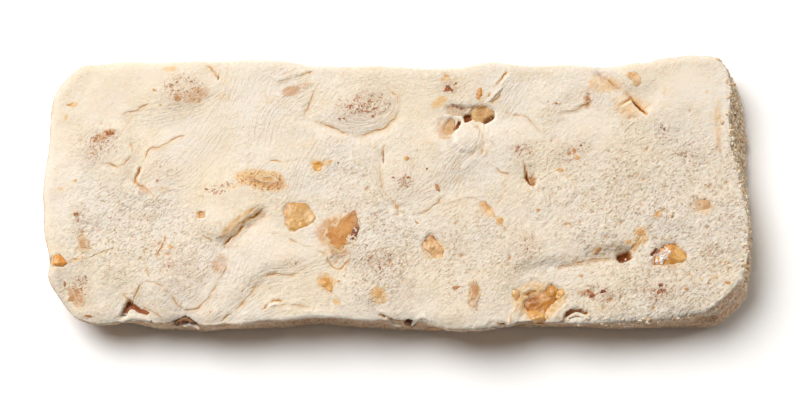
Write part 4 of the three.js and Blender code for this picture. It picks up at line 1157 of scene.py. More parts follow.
# a piece whose edge is filmed over this far in lies level with the nougat
softFrom, softFit = 0.4, {"sunk": -0.05, "cap": 0.9}
chunks = {
    "brittle_front_right": {
        "outline": [(50.5, -15.4), (51.1, -13.1), (52.3, -11.6), (54.1, -10.9), (55.5, -10.8), (56.7, -12),
                    (58.1, -13.3), (57.9, -14.5), (56.5, -15.4), (54.1, -15.6), (51.5, -16)],
        "body": (210, 150, 74), "light": (226, 178, 108), "rim": (138, 66, 28), "shadedSideAt": 128,
        "rimShare": 0.4, "soft": 0.08, "dome": 0.75, "sunk": 0.45, "cap": 1, "shine": 1,
        "sugar": (53, -13.6, 1.9, 1.1, 55)},
    "brittle_front_lip": {
        "outline": [(24.7, -23), (25.9, -21.8), (27.5, -20.9), (29.5, -20.5), (29.9, -19.5), (30.5, -19.1),
                    (31.7, -19.9), (32.9, -20.3), (33.1, -21.5), (31.9, -22.6), (30.5, -23.8), (29.5, -25.1),
                    (29.1, -26.3), (27.7, -26.9), (26.5, -26.1), (25.7, -24.9), (24.9, -24)],
        "body": (168, 102, 28), "light": (196, 134, 52), "rim": (142, 80, 26), "shadedSideAt": 150, "rimShare": 0.4,
        "soft": 0.02, "powder": 0, "dome": 0.4, "sunk": 0.6, "cap": 1, "shine": 0.6, "veil": (222, 178, 118),
        "more": [{"outline": [(29.3, -21.2), (29.5, -20.2), (30.3, -19.3), (31.3, -19.5), (31.9, -20.4),
                              (31.7, -21.6), (30.9, -22.3), (29.9, -22.1)],
                  "body": (198, 138, 56), "light": (226, 178, 104), "dome": 0.45, "sunk": 0.35},
                 {"outline": [(31.3, -21), (32.1, -20.2), (33.1, -20.3), (33.5, -21.2), (33, -22.3),
                              (32, -22.8), (31.2, -22.2)],
                  "body": (212, 158, 82), "light": (230, 184, 116), "dome": 0.4, "sunk": 0.35},
                 {"outline": [(25.3, -25), (26.3, -24.4), (27.9, -24.5), (29.2, -25.2), (29.6, -26.4),
                              (28.5, -27.3), (26.9, -27), (25.8, -26.1)],
                  "body": (216, 162, 90), "light": (230, 186, 118), "rim": (206, 150, 80), "dome": 0.6,
                  "sunk": 0.1}]},
    "brittle_beside_lip": {
        "outline": [(22.7, -20.2), (23.5, -20), (24.3, -20.6), (24.5, -21.6), (24.3, -22.6), (23.7, -23.2),
                    (23.1, -22.8), (22.5, -21.6)],
        "body": (206, 156, 92), "light": (226, 186, 132), "rim": (158, 102, 48), "rimShare": 0.9,
        "soft": 0.12},
    "brittle_round": {
        "outline": [(-23, -4.2), (-22, -2.8), (-20.1, -2.4), (-18.2, -2.7), (-16.8, -4.4), (-16, -5.8),
                    (-16.9, -7.2), (-18.3, -7.9), (-19.5, -8.2), (-20.3, -8.9), (-21.7, -8.7),
                    (-22.5, -7.3)],
        "body": (212, 166, 98), "light": (222, 182, 126), "rim": (196, 138, 74), "shadedSideAt": 140,
        "rimShare": 0.3, "soft": 0.05, "powder": 0.16, "dome": 0.05, "sunk": 0.08, "cap": 1, "shine": 0.3},
    "brittle_middle": {
        "outline": [(4.7, -12), (5.1, -10.4), (6, -9), (7.2, -9.3), (8.3, -10.6), (9.6, -12.7), (9.1, -14.1),
                    (7.3, -14.3), (6.1, -13.2)],
        "body": (216, 172, 116), "light": (224, 188, 142), "rim": (164, 100, 42), "shadedSideAt": 140,
        "rimShare": 0.5, "soft": 0.03, "powder": 0.05, "dome": 0, "sunk": 0.35, "cap": 1, "shine": 0.3},
    "brittle_bead": {
        "outline": [(-15.7, -19.1), (-15.5, -18.2), (-14.5, -17.8), (-13.5, -18), (-12.9, -19.1),
                    (-12.5, -20.3), (-12.9, -21.4), (-13.9, -20.9), (-15.1, -20.1)],
        "body": (208, 150, 76), "light": (220, 168, 100), "rim": (180, 118, 62), "shadedSideAt": 60, "soft": 0.35,
        "dome": 0.3, "shine": 0.3},
    "brittle_left_end": {
        "outline": [(-69, -15.4), (-68.7, -13.5), (-67.3, -13.1), (-66.1, -14.1), (-65.5, -15.2),
                    (-66.5, -16), (-68.3, -16)],
        "body": (220, 146, 62), "light": (230, 164, 80), "rim": (170, 100, 40), "shadedSideAt": 80, "soft": 0.1,
        "dome": 0.4, "sunk": 0.1, "cap": 1, "shine": 0.9},
    "brittle_sliver": {
        "outline": [(15.5, -2.7), (16.1, -2.1), (17.7, -2.1), (18.7, -3.3), (19.7, -5.2), (20.1, -6.2),
                    (19.1, -6), (17.5, -4.6), (16.5, -3.5)],
        "body": (212, 162, 102), "light": (224, 184, 134), "rim": (176, 122, 66), "soft": 0.3, "powder": 0.2,
        "dome": 0.1, "shine": 0.3},
    "brittle_left_of_middle": {
        "outline": [(-18.1, 6.6), (-16.9, 5.8), (-15.5, 6), (-14.5, 5.4), (-15.1, 4.1), (-15.9, 3.3),
                    (-16.7, 3.5), (-17.3, 4.7)],
        "body": (222, 166, 84), "light": (230, 180, 106), "rim": (200, 146, 76), "soft": 0.3, "dome": 0.05,
        "shine": 0.3},
    "brittle_back": {
        "outline": [(15.7, 19.8), (16.3, 21.3), (17.1, 21.5), (17.3, 19.8), (16.5, 18.6), (15.7, 19)],
        "body": (204, 142, 64), "light": (216, 160, 84), "rim": (172, 112, 54), "soft": 0.15, "shine": 0.3},
    "nut_streak": {
        "outline": [(-28.8, 2.2), (-27.8, 3.1), (-26.2, 3), (-24.6, 2.5), (-23.6, 1.7), (-24.4, 1.1),
                    (-26, 1.2), (-27.6, 1.4)],
        "body": (228, 172, 104), "light": (236, 192, 138), "rim": (228, 178, 116), "soft": 0.9,
        "powder": 0.5, "dome": 0, "flush": True, "veil": (228, 184, 124)},
    "nut_front_middle": {
        "outline": [(-9.1, -4.6), (-8.3, -4.4), (-7.7, -6.2), (-8.3, -8.1), (-9.5, -10.2), (-10.3, -12),
                    (-10.9, -13.2), (-11.9, -13.7), (-12.7, -12.7), (-13.9, -11.4), (-14.9, -9.7),
                    (-14.3, -8.1), (-12.9, -7.5), (-11.1, -6)],
        "body": (196, 130, 54), "light": (208, 150, 82), "rim": (176, 108, 46), "shadedSideAt": 40, "soft": 0.45,
        "powder": 0.18, "dome": 0.06, "veil": (216, 174, 120),
        "more": [{"outline": [(-8, -6.6), (-7.5, -8.2), (-8.2, -9.9), (-9.1, -10.9), (-9.4, -9.6),
                              (-8.9, -8)],
                  "body": (122, 60, 28), "light": (168, 100, 58), "soft": 0.1, "powder": 0.4, "sunk": -0.16,
                  "veil": (224, 206, 182)}]},
    "nut_tan_right": {
        "outline": [(58.7, -2.9), (59, -1.9), (61.1, -1.4), (63, -1.7), (63.7, -2.9), (63.3, -4.4),
                    (61.3, -4.9), (59.5, -4.7), (58.8, -3.9)],
        "body": (208, 166, 122), "light": (216, 182, 144), "rim": (158, 108, 60), "shadedSideAt": 175,
        "rimShare": 0.3, "soft": 0.15, "powder": 0.16, "dome": 0.05, "sunk": 0.2},
    "nut_back_right": {
        "outline": [(45.9, 24.4), (46.9, 24.8), (48.5, 24.6), (49.5, 23.6), (49.5, 22.1), (48.7, 20.9),
                    (47.9, 21.1), (47.3, 22.5), (46.3, 23.4)],
        "body": (220, 176, 126), "light": (232, 198, 154), "rim": (138, 84, 46), "shadedSideAt": -20,
        "rimShare": 0.25, "soft": 0.12, "powder": 0.15, "dome": 0.45, "sunk": 0.2, "cap": 0.95},
    "nut_torn_out": {
        "outline": [(14.3, 15.9), (15, 17.4), (16.3, 18.1), (18, 17.9), (19.6, 16.9), (20, 15.9), (19, 14.7),
                    (17.3, 14.1), (15.9, 14.3), (14.9, 15.1)],
        "body": (194, 152, 96), "light": (212, 174, 120), "rim": (146, 92, 44), "shadedSideAt": 20,
        "rimShare": 0.25, "soft": 0.08, "powder": 0.1, "dome": 0.5, "sunk": 0.5, "cap": 1},
    "nut_torn_beside": {
        "outline": [(8.7, 11.9), (9.3, 13.4), (10, 15), (11.1, 15.6), (12.1, 14.7), (11.9, 13.1),
                    (11.5, 11.6), (10.1, 11.1)],
        "body": (190, 150, 102), "light": (206, 168, 124), "rim": (144, 92, 48), "shadedSideAt": 0, "rimShare": 0.2,
        "soft": 0.12, "powder": 0.12, "dome": 0.3, "sunk": 0.6, "cap": 1},
    "nut_left": {
        "outline": [(-63.9, -9.7), (-62.7, -9.3), (-61.9, -10.6), (-61.3, -13.1), (-62.7, -13.1),
                    (-63.5, -12.5), (-63.3, -11.2)],
        "soft": 0.6, "powder": 0.2},
    "nut_torn_front": {
        "outline": [(-55, -25.2), (-54.2, -24), (-52.9, -22.6), (-52, -23.2), (-50.6, -24.1), (-49, -24.7),
                    (-49.2, -25.5), (-51, -25.4), (-53, -25.4)],
        "body": (146, 78, 42), "light": (168, 98, 56), "rim": (112, 54, 26), "rimShare": 0.5, "soft": 0.04,
        "powder": 0.15, "dome": 0.05, "sunk": 0.3, "cap": 1},
    "nut_cavity_front": {"body": (118, 76, 46), "light": (136, 92, 60), "soft": 0.1, "powder": 0.1},
    "nut_hole_front": {"body": (96, 54, 28), "light": (120, 72, 40), "soft": 0.1, "powder": 0.05},
    "nut_front_left": {
        "outline": [(-64.9, -19.5), (-63.7, -19.7), (-62.5, -21.3), (-61.9, -23), (-62.7, -24),
                    (-63.9, -22.4), (-64.7, -20.9)],
        "body": (188, 138, 92), "soft": 0.6, "powder": 0.35},
    "nut_front_tan": {
        "outline": [(14.3, -19.3), (15.5, -18.7), (16.3, -20.3), (16.5, -22), (15.7, -23.6), (14.7, -24.5),
                    (14.1, -23), (14.7, -21.4)],
        "body": (192, 142, 94), "soft": 0.6, "powder": 0.3},
    "nut_slot_front": {
        "outline": [(33.2, -25.4), (34.2, -24.2), (35.2, -24.9), (36.7, -25.3), (36.9, -26.1),
                    (34.9, -26.1)],
        "body": (146, 80, 38), "light": (168, 100, 52), "rim": (112, 54, 22), "soft": 0.1, "powder": 0.05,
        "sunk": 0.2, "dome": 0.1, "cap": 1},
}

# small chips showing in the top: x, y, half length, half width, turn, how pale from -1 to 1
chipTones = {"brittle": [(140, 80, 32), (196, 134, 64), (218, 174, 112)],
             "nut": [(80, 38, 18), (178, 118, 66), (212, 170, 122)]}
chips = {
    "brittle": [
        (3.9, -6.8, 0.95, 0.6, -35, 0.3), (52.1, -5.2, 1, 0.8, 10, 0.4), (36.1, 6.6, 1, 0.7, 0, 0.6),
        (32.5, 3.9, 1.1, 0.6, 0, 0.6), (20.6, -6.6, 0.7, 1.1, 10, 0.5), (28.1, -4.4, 0.7, 0.5, 0, 0.3),
        (48.7, -8.9, 1, 1.2, -20, 0.5), (47.9, -11.3, 0.5, 2, -42, 0.4), (46.1, -10.8, 0.9, 0.6, 10, 0.5),
        (-39.4, -5, 0.8, 0.75, 0, 0.1), (-0.7, 5.4, 1, 0.45, 15, 0.2), (1.8, 6.3, 0.9, 0.8, 0, 0.4),
        (-49.1, 20.7, 0.6, 0.45, 0, 0.5), (-47.9, 17.6, 0.45, 0.45, 0, 0.8),
        (36.5, -17.8, 0.55, 0.45, 20, 0.3), (-11.7, -18.9, 0.5, 0.3, 40, 0.3),
        (9.7, 23.8, 0.9, 0.35, 0, 0.5), (-37.1, -25.1, 0.35, 0.3, 0, 0.3), (-3.7, -21.6, 1.5, 1.2, -20, 0.6),
        (11.5, -7, 0.4, 0.3, 0, 0.5), (-64.5, 1.8, 0.35, 0.3, 0, 0.2), (-66.3, 17.6, 0.7, 0.3, 0, 0.2),
        (65.6, -19.3, 0.8, 0.5, 10, 0.4), (-13.6, 5.8, 0.6, 0.4, 30, 0.4), (-12, -23, 0.5, 0.7, 0, 0.3),
        (61.7, -19.3, 0.4, 0.3, 0, 0.3), (65.9, -15.3, 0.6, 0.4, 0, 0.4), (-45.1, -12, 0.65, 0.5, 20, 0.6),
    ],
    "nut": [
        (27.2, 2.2, 0.8, 0.95, -40, 0.2), (8, 0.2, 0.7, 1.3, 15, 0.3), (11.7, -20.3, 1.1, 0.65, 10, 0.1),
        (39.9, -12.7, 1.2, 0.45, 35, 0.6), (57.3, -20.7, 0.55, 0.55, 0, 0.5),
        (-11.9, 5.5, 0.4, 0.35, 0, -0.6), (36.9, 9.1, 0.4, 0.38, 0, -0.9), (53.7, 12.4, 0.4, 0.5, 20, -0.5),
        (-38.3, 0, 0.65, 0.35, -20, -0.2), (-35.1, 0.7, 0.35, 0.3, 0, -0.1),
        (-33.7, -0.6, 0.3, 0.3, 0, -0.1), (2.1, 2.2, 0.7, 0.4, 0, -0.1), (-0.9, 2.2, 0.5, 0.4, 0, -0.3),
        (10.2, 21.4, 0.6, 0.8, 20, -0.6), (-42.6, 20.2, 0.5, 0.45, 0, -0.2),
        (-44.4, 18.8, 0.9, 0.75, 0, 0.4), (35.5, 8, 0.5, 0.7, 0, 0.3), (51.9, -20.9, 0.4, 0.9, -35, -0.3),
        (38.3, -21.2, 1.4, 0.35, -20, 0.1), (-64.2, -5.2, 0.8, 0.5, 10, -0.1),
        (5.9, 4.1, 0.28, 0.25, 0, -0.5), (-36.1, 22.8, 0.35, 0.6, 0, -0.2), (32, 17.8, 0.6, 0.35, 0, 0),
        (38.4, 18.7, 0.5, 1.1, 0, 0.1), (-61.2, -25.6, 2.1, 0.4, -8, -0.1),
        (-64.6, -21.8, 0.9, 1.4, -40, 0.3), (-66.2, -19.2, 0.4, 0.8, 0, 0.1), (-6.2, 16.2, 1, 0.28, 0, 0),
        (-11.7, 14.6, 0.4, 0.3, 0, -0.2), (-4.9, 15.2, 0.5, 0.4, 0, -0.1),
    ],
}


# how a lump is built; under its rim it is given by how far out and at which share of its depth
lumpForm = {"rings": 14, "sides": 60, "depth": 2.2, "under": [(1.03, 0.3), (0.8, 0.8), (0.4, 1)]}
chipForm = {**lumpForm, "rings": 4, "sides": 16, "depth": 0.7, "corners": 8, "wobble": 0.35,
            "reach": (0.65, 1.25), "dome": 0.04, "bumpy": 0.12, "seed": 12}
rimTurns = {"crisp": 0.25, "soft": 0.06, "extra": 0.2}  # how far the rim of a lump turns down


def vertexRows(name, source):
    rows = np.empty(len(source) * 3)
    source.foreach_get(name, rows)
    return rows.reshape(-1, 3)


def shiftedFaces(faces, start):
    # the faces of a mesh whose points come after that many others
    return [tuple(i + start for i in face) for face in faces]


def onSurface(plan, above=40, beside=3):
    # height of the nougat's top at a point in plan; beside the bar it is a little under its plain top
    hit = surface.ray_cast(Vector((plan[0], plan[1], above)), Vector((0, 0, -1)))
    return hit[0].z if hit[0] else slab["height"] - beside


def reachOf(outline, middle, angles):
    # how far an outline lies from its middle at each angle
    arms = np.array(outline) - middle
    nexts = np.roll(arms, -1, axis=0) - arms
    reaches = []
    for angle in angles:
        aim = np.array([math.cos(angle), math.sin(angle)])
        across = nexts[:, 0] * aim[1] - nexts[:, 1] * aim[0]
        across = np.where(np.abs(across) < 1e-9, 1e-9, across)
        far = (nexts[:, 0] * arms[:, 1] - nexts[:, 1] * arms[:, 0]) / across
        part = (aim[0] * arms[:, 1] - aim[1] * arms[:, 0]) / across
        fits = far[(part >= -1e-6) & (part <= 1 + 1e-6) & (far > 0)]
        reaches.append(fits.max() if len(fits) else np.linalg.norm(arms, axis=1).mean())
    return np.array(reaches)


def flatLump(look, form, turned):
    # a lump with that outline lying in the top: its points, faces and each point's place from middle to rim
    rings, sides, depth = form["rings"], form["sides"], form["depth"]
    middle = np.mean(look["outline"], axis=0)
    angles = np.arange(sides) * 2 * math.pi / sides
    reach = reachOf(look["outline"], middle, angles)
    aims = np.stack([np.cos(angles), np.sin(angles)], axis=1)
    reach = reach * (1 + 0.07 * rough(middle + aims * reach[:, None], 1.1, 91, 2))
    level = onSurface(middle)
    spots, share = [np.array([*middle, 0])], [0.0]
    shape = [(k / rings, 0) for k in range(1, rings + 1)]
    shape += [(out, -down * depth) for out, down in form["under"]]
    for out, down in shape:
        for aim, far in zip(aims, reach):
            plan = middle + aim * far * out
            spots.append(np.array([*plan, down]))
            share.append(out if down == 0 else 1.0)
    spots.append(np.array([*middle, -depth]))
    share.append(1.0)
    spots, share = np.array(spots), np.array(share)
    onTop = spots[:, 2] == 0
    ground = [max(onSurface(spot), level - 1.3) if top else level for spot, top in zip(spots, onTop)]
    rimTurn = np.where(onTop, look["dome"] * (1 - share**2) - turned * rise(share, 0.82, 1), 0)
    crags = look["bumpy"] * rough(spots[:, :2], 1.5, 92, 2)
    crags = crags + 0.4 * look["bumpy"] * np.abs(rough(spots[:, :2], 0.8, 93))
    spots[:, 2] += np.array(ground) - look["sunk"] + rimTurn + crags * onTop
    faces = [(0, 1 + k, 1 + (k + 1) % sides) for k in range(sides)]
    for ring in range(len(shape) - 1):
        for k in range(sides):
            a, b = 1 + ring * sides + k, 1 + ring * sides + (k + 1) % sides
            faces.append((a, a + sides, b + sides, b))
    last = 1 + (len(shape) - 1) * sides
    faces += [(last + (k + 1) % sides, last + k, len(spots) - 1) for k in range(sides)]
    return spots, faces, share


snapShare = 0.48  # points nearer to an outline than this share of a cell are drawn onto it


def snapToRim(loop):
    # draws the top's points beside an outline onto it, for a smooth edge of the opening
    loop = np.concatenate([loop, loop[:1]])
    top = points[:index.size, :2]
    near = np.flatnonzero(np.all((top > loop.min(axis=0) - 1) & (top < loop.max(axis=0) + 1), axis=1))
    signed, place = besidePath(top[near], [tuple(spot) for spot in loop])
    start = np.minimum(place.astype(int), len(loop) - 2)
    onto = loop[start] + (loop[start + 1] - loop[start]) * (place - start)[:, None]
    close = np.abs(signed) < snapShare * slab["cell"]
    points[near[close], :2] = onto[close]
    return set(near[close].tolist())


# how far round a piece its pocket reaches, how far out it is felt for, how far under it the nougat ends,
# and how far and how strongly the nougat is stained all round
pocket = {"margin": 1.6, "probe": 4, "below": 0.25, "deeper": 0.5, "stainReach": 1.2, "stain": 0.5}


def sinkPocket(spots, faces, share, cap, depth, rim=()):
    # lowers the nougat under a piece's open middle, less towards a soft rim, and stains it all round
    tree = treeOf(spots, faces)
    faceShare = np.array([share[list(face)].max() for face in faces])
    low, high = spots.min(axis=0) - pocket["margin"], spots.max(axis=0) + pocket["margin"]
    near = np.flatnonzero(np.all((points > low) & (points < high), axis=1))
    ragged = rough(points[near], 1.1, 81, 2)
    for i, noise in zip(near, ragged):
        if i in rim:
            continue
        spot, aim = Vector(points[i]), Vector(normals[i])
        hit = tree.ray_cast(spot + aim * pocket["probe"], -aim)
        height = pocket["probe"] - hit[3] if hit[0] else -math.inf
        if height > -depth + 0.5 * noise:
            openness = 1 if cap >= 1 else 1 - float(rise(faceShare[hit[2]], cap - 0.3, cap))
            points[i] += normals[i] * min(0, height - pocket["below"]) * openness
            continue
        away = tree.find_nearest(spot, pocket["stainReach"])[3]
        if away is not None:
            stain = pocket["stain"] * (1 - away / pocket["stainReach"])
            attributes["stain"][i, 0] = max(attributes["stain"][i, 0], stain)


# how a solid's own form is changed: how much larger it is, its bumps and grain, and how far it stands out
formDress = {"grown": 1.1, "bumps": 0.25, "grain": 0.06, "stands": 0.4, "showing": 0.7, "weld": 0.00001}


def ownForm(node):
    # the solid's own form, rounder and rougher, for the pieces on the sides and underneath
    copy = inScene(node + "Copy", frame["nodes"][node].data.copy())
    copy.modifiers.new("weld", "WELD").merge_threshold = formDress["weld"]
    rounder = copy.modifiers.new("rounder", "SUBSURF")
    rounder.levels = rounder.render_levels = 2
    mesh = bpy.data.meshes.new_from_object(copy.evaluated_get(bpy.context.evaluated_depsgraph_get()))
    spots, aims = vertexRows("co", mesh.vertices) / mm, vertexRows("vector", mesh.vertex_normals)
    middle = (spots.min(axis=0) + spots.max(axis=0)) / 2
    spots = middle + (spots - middle) * formDress["grown"]
    bumps = formDress["bumps"] * rough(spots, 1.8, 71, 2) + formDress["grain"] * rough(spots, 0.6, 72)
    spots += aims * bumps[:, None]
    share = np.ones(len(spots))
    for i, spot in enumerate(spots):
        place, aim = surface.find_nearest(Vector(spot))[:2]
        lift = (Vector(spot) - place).dot(aim)
        if lift > 0:
            stands = formDress["stands"]
            spots[i] += np.array(aim) * (stands * (1 - math.exp(-lift / stands)) - lift)
        share[i] = 1 - min(1, max(0, lift / formDress["showing"]))
    faces = [tuple(face.vertices) for face in mesh.polygons]
    bpy.data.objects.remove(copy)
    return spots, faces, share


def linear(*colour):
    return np.array(tone(*colour)[:3])


def tinted(spots, share, look):
    # the colour of each point, and its film, shine and powder
    patch = rise(rough(spots, 1.7, 94, 2), -0.25, 0.35)[:, None]
    ragged = 0.3 * rough(spots, 0.8, 95, 2)
    middle = spots[share < 0.5].mean(axis=0) if (share < 0.5).any() else spots.mean(axis=0)
    # a darker rim, strongest on one side: painted shade where the nougat's edge shades the sunken piece,
    # partly the piece's own darker edge
    around = np.arctan2(spots[:, 1] - middle[1], spots[:, 0] - middle[0])
    towards = np.clip(look["rimShare"] + 0.8 * np.cos(around - math.radians(look["shadedSideAt"])), 0, 1)
    rim = (rise(share + ragged, 0.72, 0.96) * towards)[:, None]
    tint = linear(*look["body"]) * (1 - patch) + linear(*look["light"]) * patch
    tint = tint * (1 - rim) + linear(*look["rim"]) * rim
    film = rise(share + ragged, 1 - look["soft"], 1.05) * (1 - 0.6 * rim[:, 0])
    rest = np.full(len(spots), 1.0)
    cover = np.column_stack([film, look["shine"] * rest, look["powder"] * rest])
    sugared = np.zeros(len(spots))
    if look.get("sugar"):
        sugared = (1 - rise(oval(spots, *look["sugar"]), 0.7, 1.1)) * (share < 1)
    return {"tint": tint, "cover": cover, "veil": rest[:, None] * linear(*look["veil"]),
            "loose": np.column_stack([sugared, 0 * rest, 0 * rest])}


def dressPiece(node):
    kind, rim = node.split("_")[0], ()
    look = {**usualPiece[kind], **chunks.get(node, {})}
    if "outline" in look:
        soft = look.get("flush", look["soft"] >= softFrom)
        if soft:
            look.update(softFit)
        spots, faces, share = flatLump(look, lumpForm, rimTurns["soft" if soft else "crisp"])
        if not soft:
            rimStart = 1 + (lumpForm["rings"] - 1) * lumpForm["sides"]
            rim = snapToRim(spots[rimStart:rimStart + lumpForm["sides"], :2])
    else:
        spots, faces, share = ownForm(node)
        look.update(sunk=0, cap=1)
    sinkPocket(spots, faces, share, look["cap"], look["sunk"] + pocket["deeper"], rim)
    dress = tinted(spots, share, look)
    for extra in look.get("more", []):
        extra = {**look, "sugar": None, **extra}
        moreSpots, moreFaces, share = flatLump(extra, lumpForm, rimTurns["extra"])
        faces += shiftedFaces(moreFaces, len(spots))
        spots = np.concatenate([spots, moreSpots])
        moreDress = tinted(moreSpots, share, extra)
        dress = {key: np.concatenate([data, moreDress[key]]) for key, data in dress.items()}
    piece = meshPiece(node + "Dressed", spots, faces, dress)
    piece.data.materials.append(materials[kind])
    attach(piece, "root")
    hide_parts(node)
    return piece


def chipPiece(kind):
    # all the small chips of one kind as one mesh
    spots, faces, cover, tints, rng = [], [], [], [], np.random.default_rng(chipForm["seed"])
    veil = linear(*usualPiece[kind]["veil"])
    dark, usual, pale = (linear(*colour) for colour in chipTones[kind])
    corners, wobble = chipForm["corners"], chipForm["wobble"]
    for x, y, halfLength, halfWidth, turn, light in chips[kind]:
        angles = (np.arange(corners) + rng.uniform(-wobble, wobble, corners)) * 2 * math.pi / corners
        reach = rng.uniform(*chipForm["reach"], corners)
        flat = np.stack([halfLength * reach * np.cos(angles), halfWidth * reach * np.sin(angles)], axis=1)
        c, s = math.cos(math.radians(turn)), math.sin(math.radians(turn))
        outline = [(x + a * c - b * s, y + a * s + b * c) for a, b in flat]
        chip = {"outline": outline, "dome": chipForm["dome"], "sunk": 0, "bumpy": chipForm["bumpy"]}
        some, more, share = flatLump(chip, chipForm, rimTurns["crisp"])
        faces += shiftedFaces(more, len(spots))
        spots += list(some)
        cover += [(max(0, 1.4 * part - 0.7) if light > -0.3 else 0, 0.3, 0.3) for part in share]
        tint = usual + (pale - usual) * light if light > 0 else usual + (dark - usual) * -light
        tints += [tint] * len(some)
    look = {"cover": cover, "tint": tints, "veil": [veil] * len(spots)}
    piece = meshPiece(kind + "Chips", spots, faces, look)
    piece.data.materials.append(materials[kind])
    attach(piece, "root")
    return piece


# how often the surface is smoothed before a point's depth under it is taken
hollowRounds = {"fine": 4, "broad": 60}
pairs = neighbourPairs(index, rings)
hollow = [hollowness(points, normals, pairs, rounds) for rounds in hollowRounds.values()]
attributes["hollow"] = np.column_stack([*hollow, np.zeros(len(points))])
dressed = [dressPiece(node) for node in sorted(frame["nodes"]) if node != "nougat"]
dressed += [chipPiece(kind) for kind in chips]
print("pieces dressed", len(dressed))

points, faces, attributes = closeSlab(points, attributes, index, rings)
nougatBody = meshPiece("nougatBody", points, faces, attributes)
nougatBody.data.materials.append(materials["nougat"])
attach(nougatBody, "root")
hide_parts("nougat")
print("slab", len(points), "points", sum(len(face) - 2 for face in faces), "triangles")

# ---- strands and lips of nougat over the torn places: half width, lift, path

strands = [
    (0.75, 0.1, [(-54.4, -26.5), (-52.8, -25.6), (-50.8, -25.8), (-48.8, -26.5)]),
    (0.5, 0.15, [(-53.6, -25.5), (-52.8, -24.7), (-51.8, -25.2), (-50.4, -25.7)]),
    (0.5, 0, [(2.8, -27.2), (3.9, -26.3), (5.2, -26.1), (6.8, -27)]),
    (0.4, 0, [(-2.4, -26), (-1, -26.9), (0.8, -27.4)]),
    (0.45, 0.05, [(33.8, -26.2), (35.4, -25.5), (36.6, -25.8), (38, -26.6)]),
    (0.16, 0.12, [(-9.9, -10.6), (-8.6, -9.4), (-8, -7.8)]),
    (0.3, 0.12, [(18.4, 18.3), (19.7, 19.8), (21.2, 21.2)]),
    (0.45, 0.1, [(-42.6, -27.4), (-40.8, -27), (-39.4, -28)]),
]


# a strand's sides, the parts of each stretch of its path, how flat, uneven and open it is
strandForm = {"sides": 12, "parts": 6, "flat": 0.7, "uneven": 0.25, "grain": 0.07, "openness": 0.5}


def strand(width, lift, path):
    # a tapered strand lying on the nougat: its points and faces
    line = np.array(rounded(path, strandForm["parts"]))
    count, sides = len(line), strandForm["sides"]
    ahead = np.gradient(line, axis=0)
    across = np.stack([-ahead[:, 1], ahead[:, 0]], axis=1) / np.linalg.norm(ahead, axis=1)[:, None]
    swell = width * np.sin(math.pi * np.linspace(0.04, 0.96, count)) ** 0.6
    swell = swell * (1 + strandForm["uneven"] * rough(line, 1.1, 41, 2))
    level = np.array([onSurface(spot) for spot in line]) + lift
    level = np.convolve(np.pad(level, 2, mode="edge"), np.ones(5) / 5, mode="valid")
    spots = []
    for spot, side, reach, height in zip(line, across, swell, level):
        for turn in np.arange(sides) * 2 * math.pi / sides:
            plan = spot + side * reach * math.cos(turn)
            spots.append((*plan, height + strandForm["flat"] * reach * math.sin(turn)))
    spots += [(*line[0], level[0]), (*line[-1], level[-1])]
    faces = []
    for k in range(sides):
        after = (k + 1) % sides
        for row in range(0, (count - 1) * sides, sides):
            faces.append((row + k, row + after, row + sides + after, row + sides + k))
        faces.append((len(spots) - 2, after, k))
        faces.append((len(spots) - 1, (count - 1) * sides + k, (count - 1) * sides + after))
    spots = np.array(spots)
    grain = np.stack([rough(spots, 0.8, seed, 2) for seed in (43, 44, 45)], axis=1)
    return spots + strandForm["grain"] * grain, faces


def strandPiece():
    spots, faces = np.zeros((0, 3)), []
    for plan in strands:
        more, moreFaces = strand(*plan)
        faces += shiftedFaces(moreFaces, len(spots))
        spots = np.concatenate([spots, more])
    look = {"touch": np.full((len(spots), 3), (strandForm["openness"], 0, 0))}
    piece = meshPiece("nougatStrands", spots, faces, look)
    piece.data.materials.append(materials["nougat"])
    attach(piece, "root")
    print("strands", len(strands), "faces", len(faces))


strandPiece()

# ---- crumbs, skins, flakes and sugar

scattered = {
    "nougatCrumbs": {"on": "nougatBody", "part": "X", "shape": "lump", "Density": 2.4e6, "Smallest": 0.0001,
                     "Largest": 0.00042, "Flatness": 0.8, "Tilt": 3.1, "Seed": 3},
    "paleFlakes": {"on": "nougatBody", "part": "Y", "shape": "lump", "Density": 2.2e6, "Smallest": 0.0002,
                   "Largest": 0.0005, "Flatness": 0.3, "Tilt": 0.8, "Seed": 5},
    "nutSkins": {"on": "nougatBody", "part": "Z", "shape": "lump", "Density": 0.9e6, "Smallest": 0.00018,
                 "Largest": 0.0006, "Flatness": 0.25, "Tilt": 0.5, "Seed": 8},
    "sugarGrains": {"on": "brittle_front_rightDressed", "part": "X", "shape": "block", "Density": 1.1e7,
                    "Smallest": 0.0001, "Largest": 0.00026, "Flatness": 1.0, "Tilt": 3.1, "Seed": 9},
}
skinTones = [(150, 72, 38), (120, 52, 26), (176, 104, 62)]
lumpCorners = 12  # the points of one scattered lump


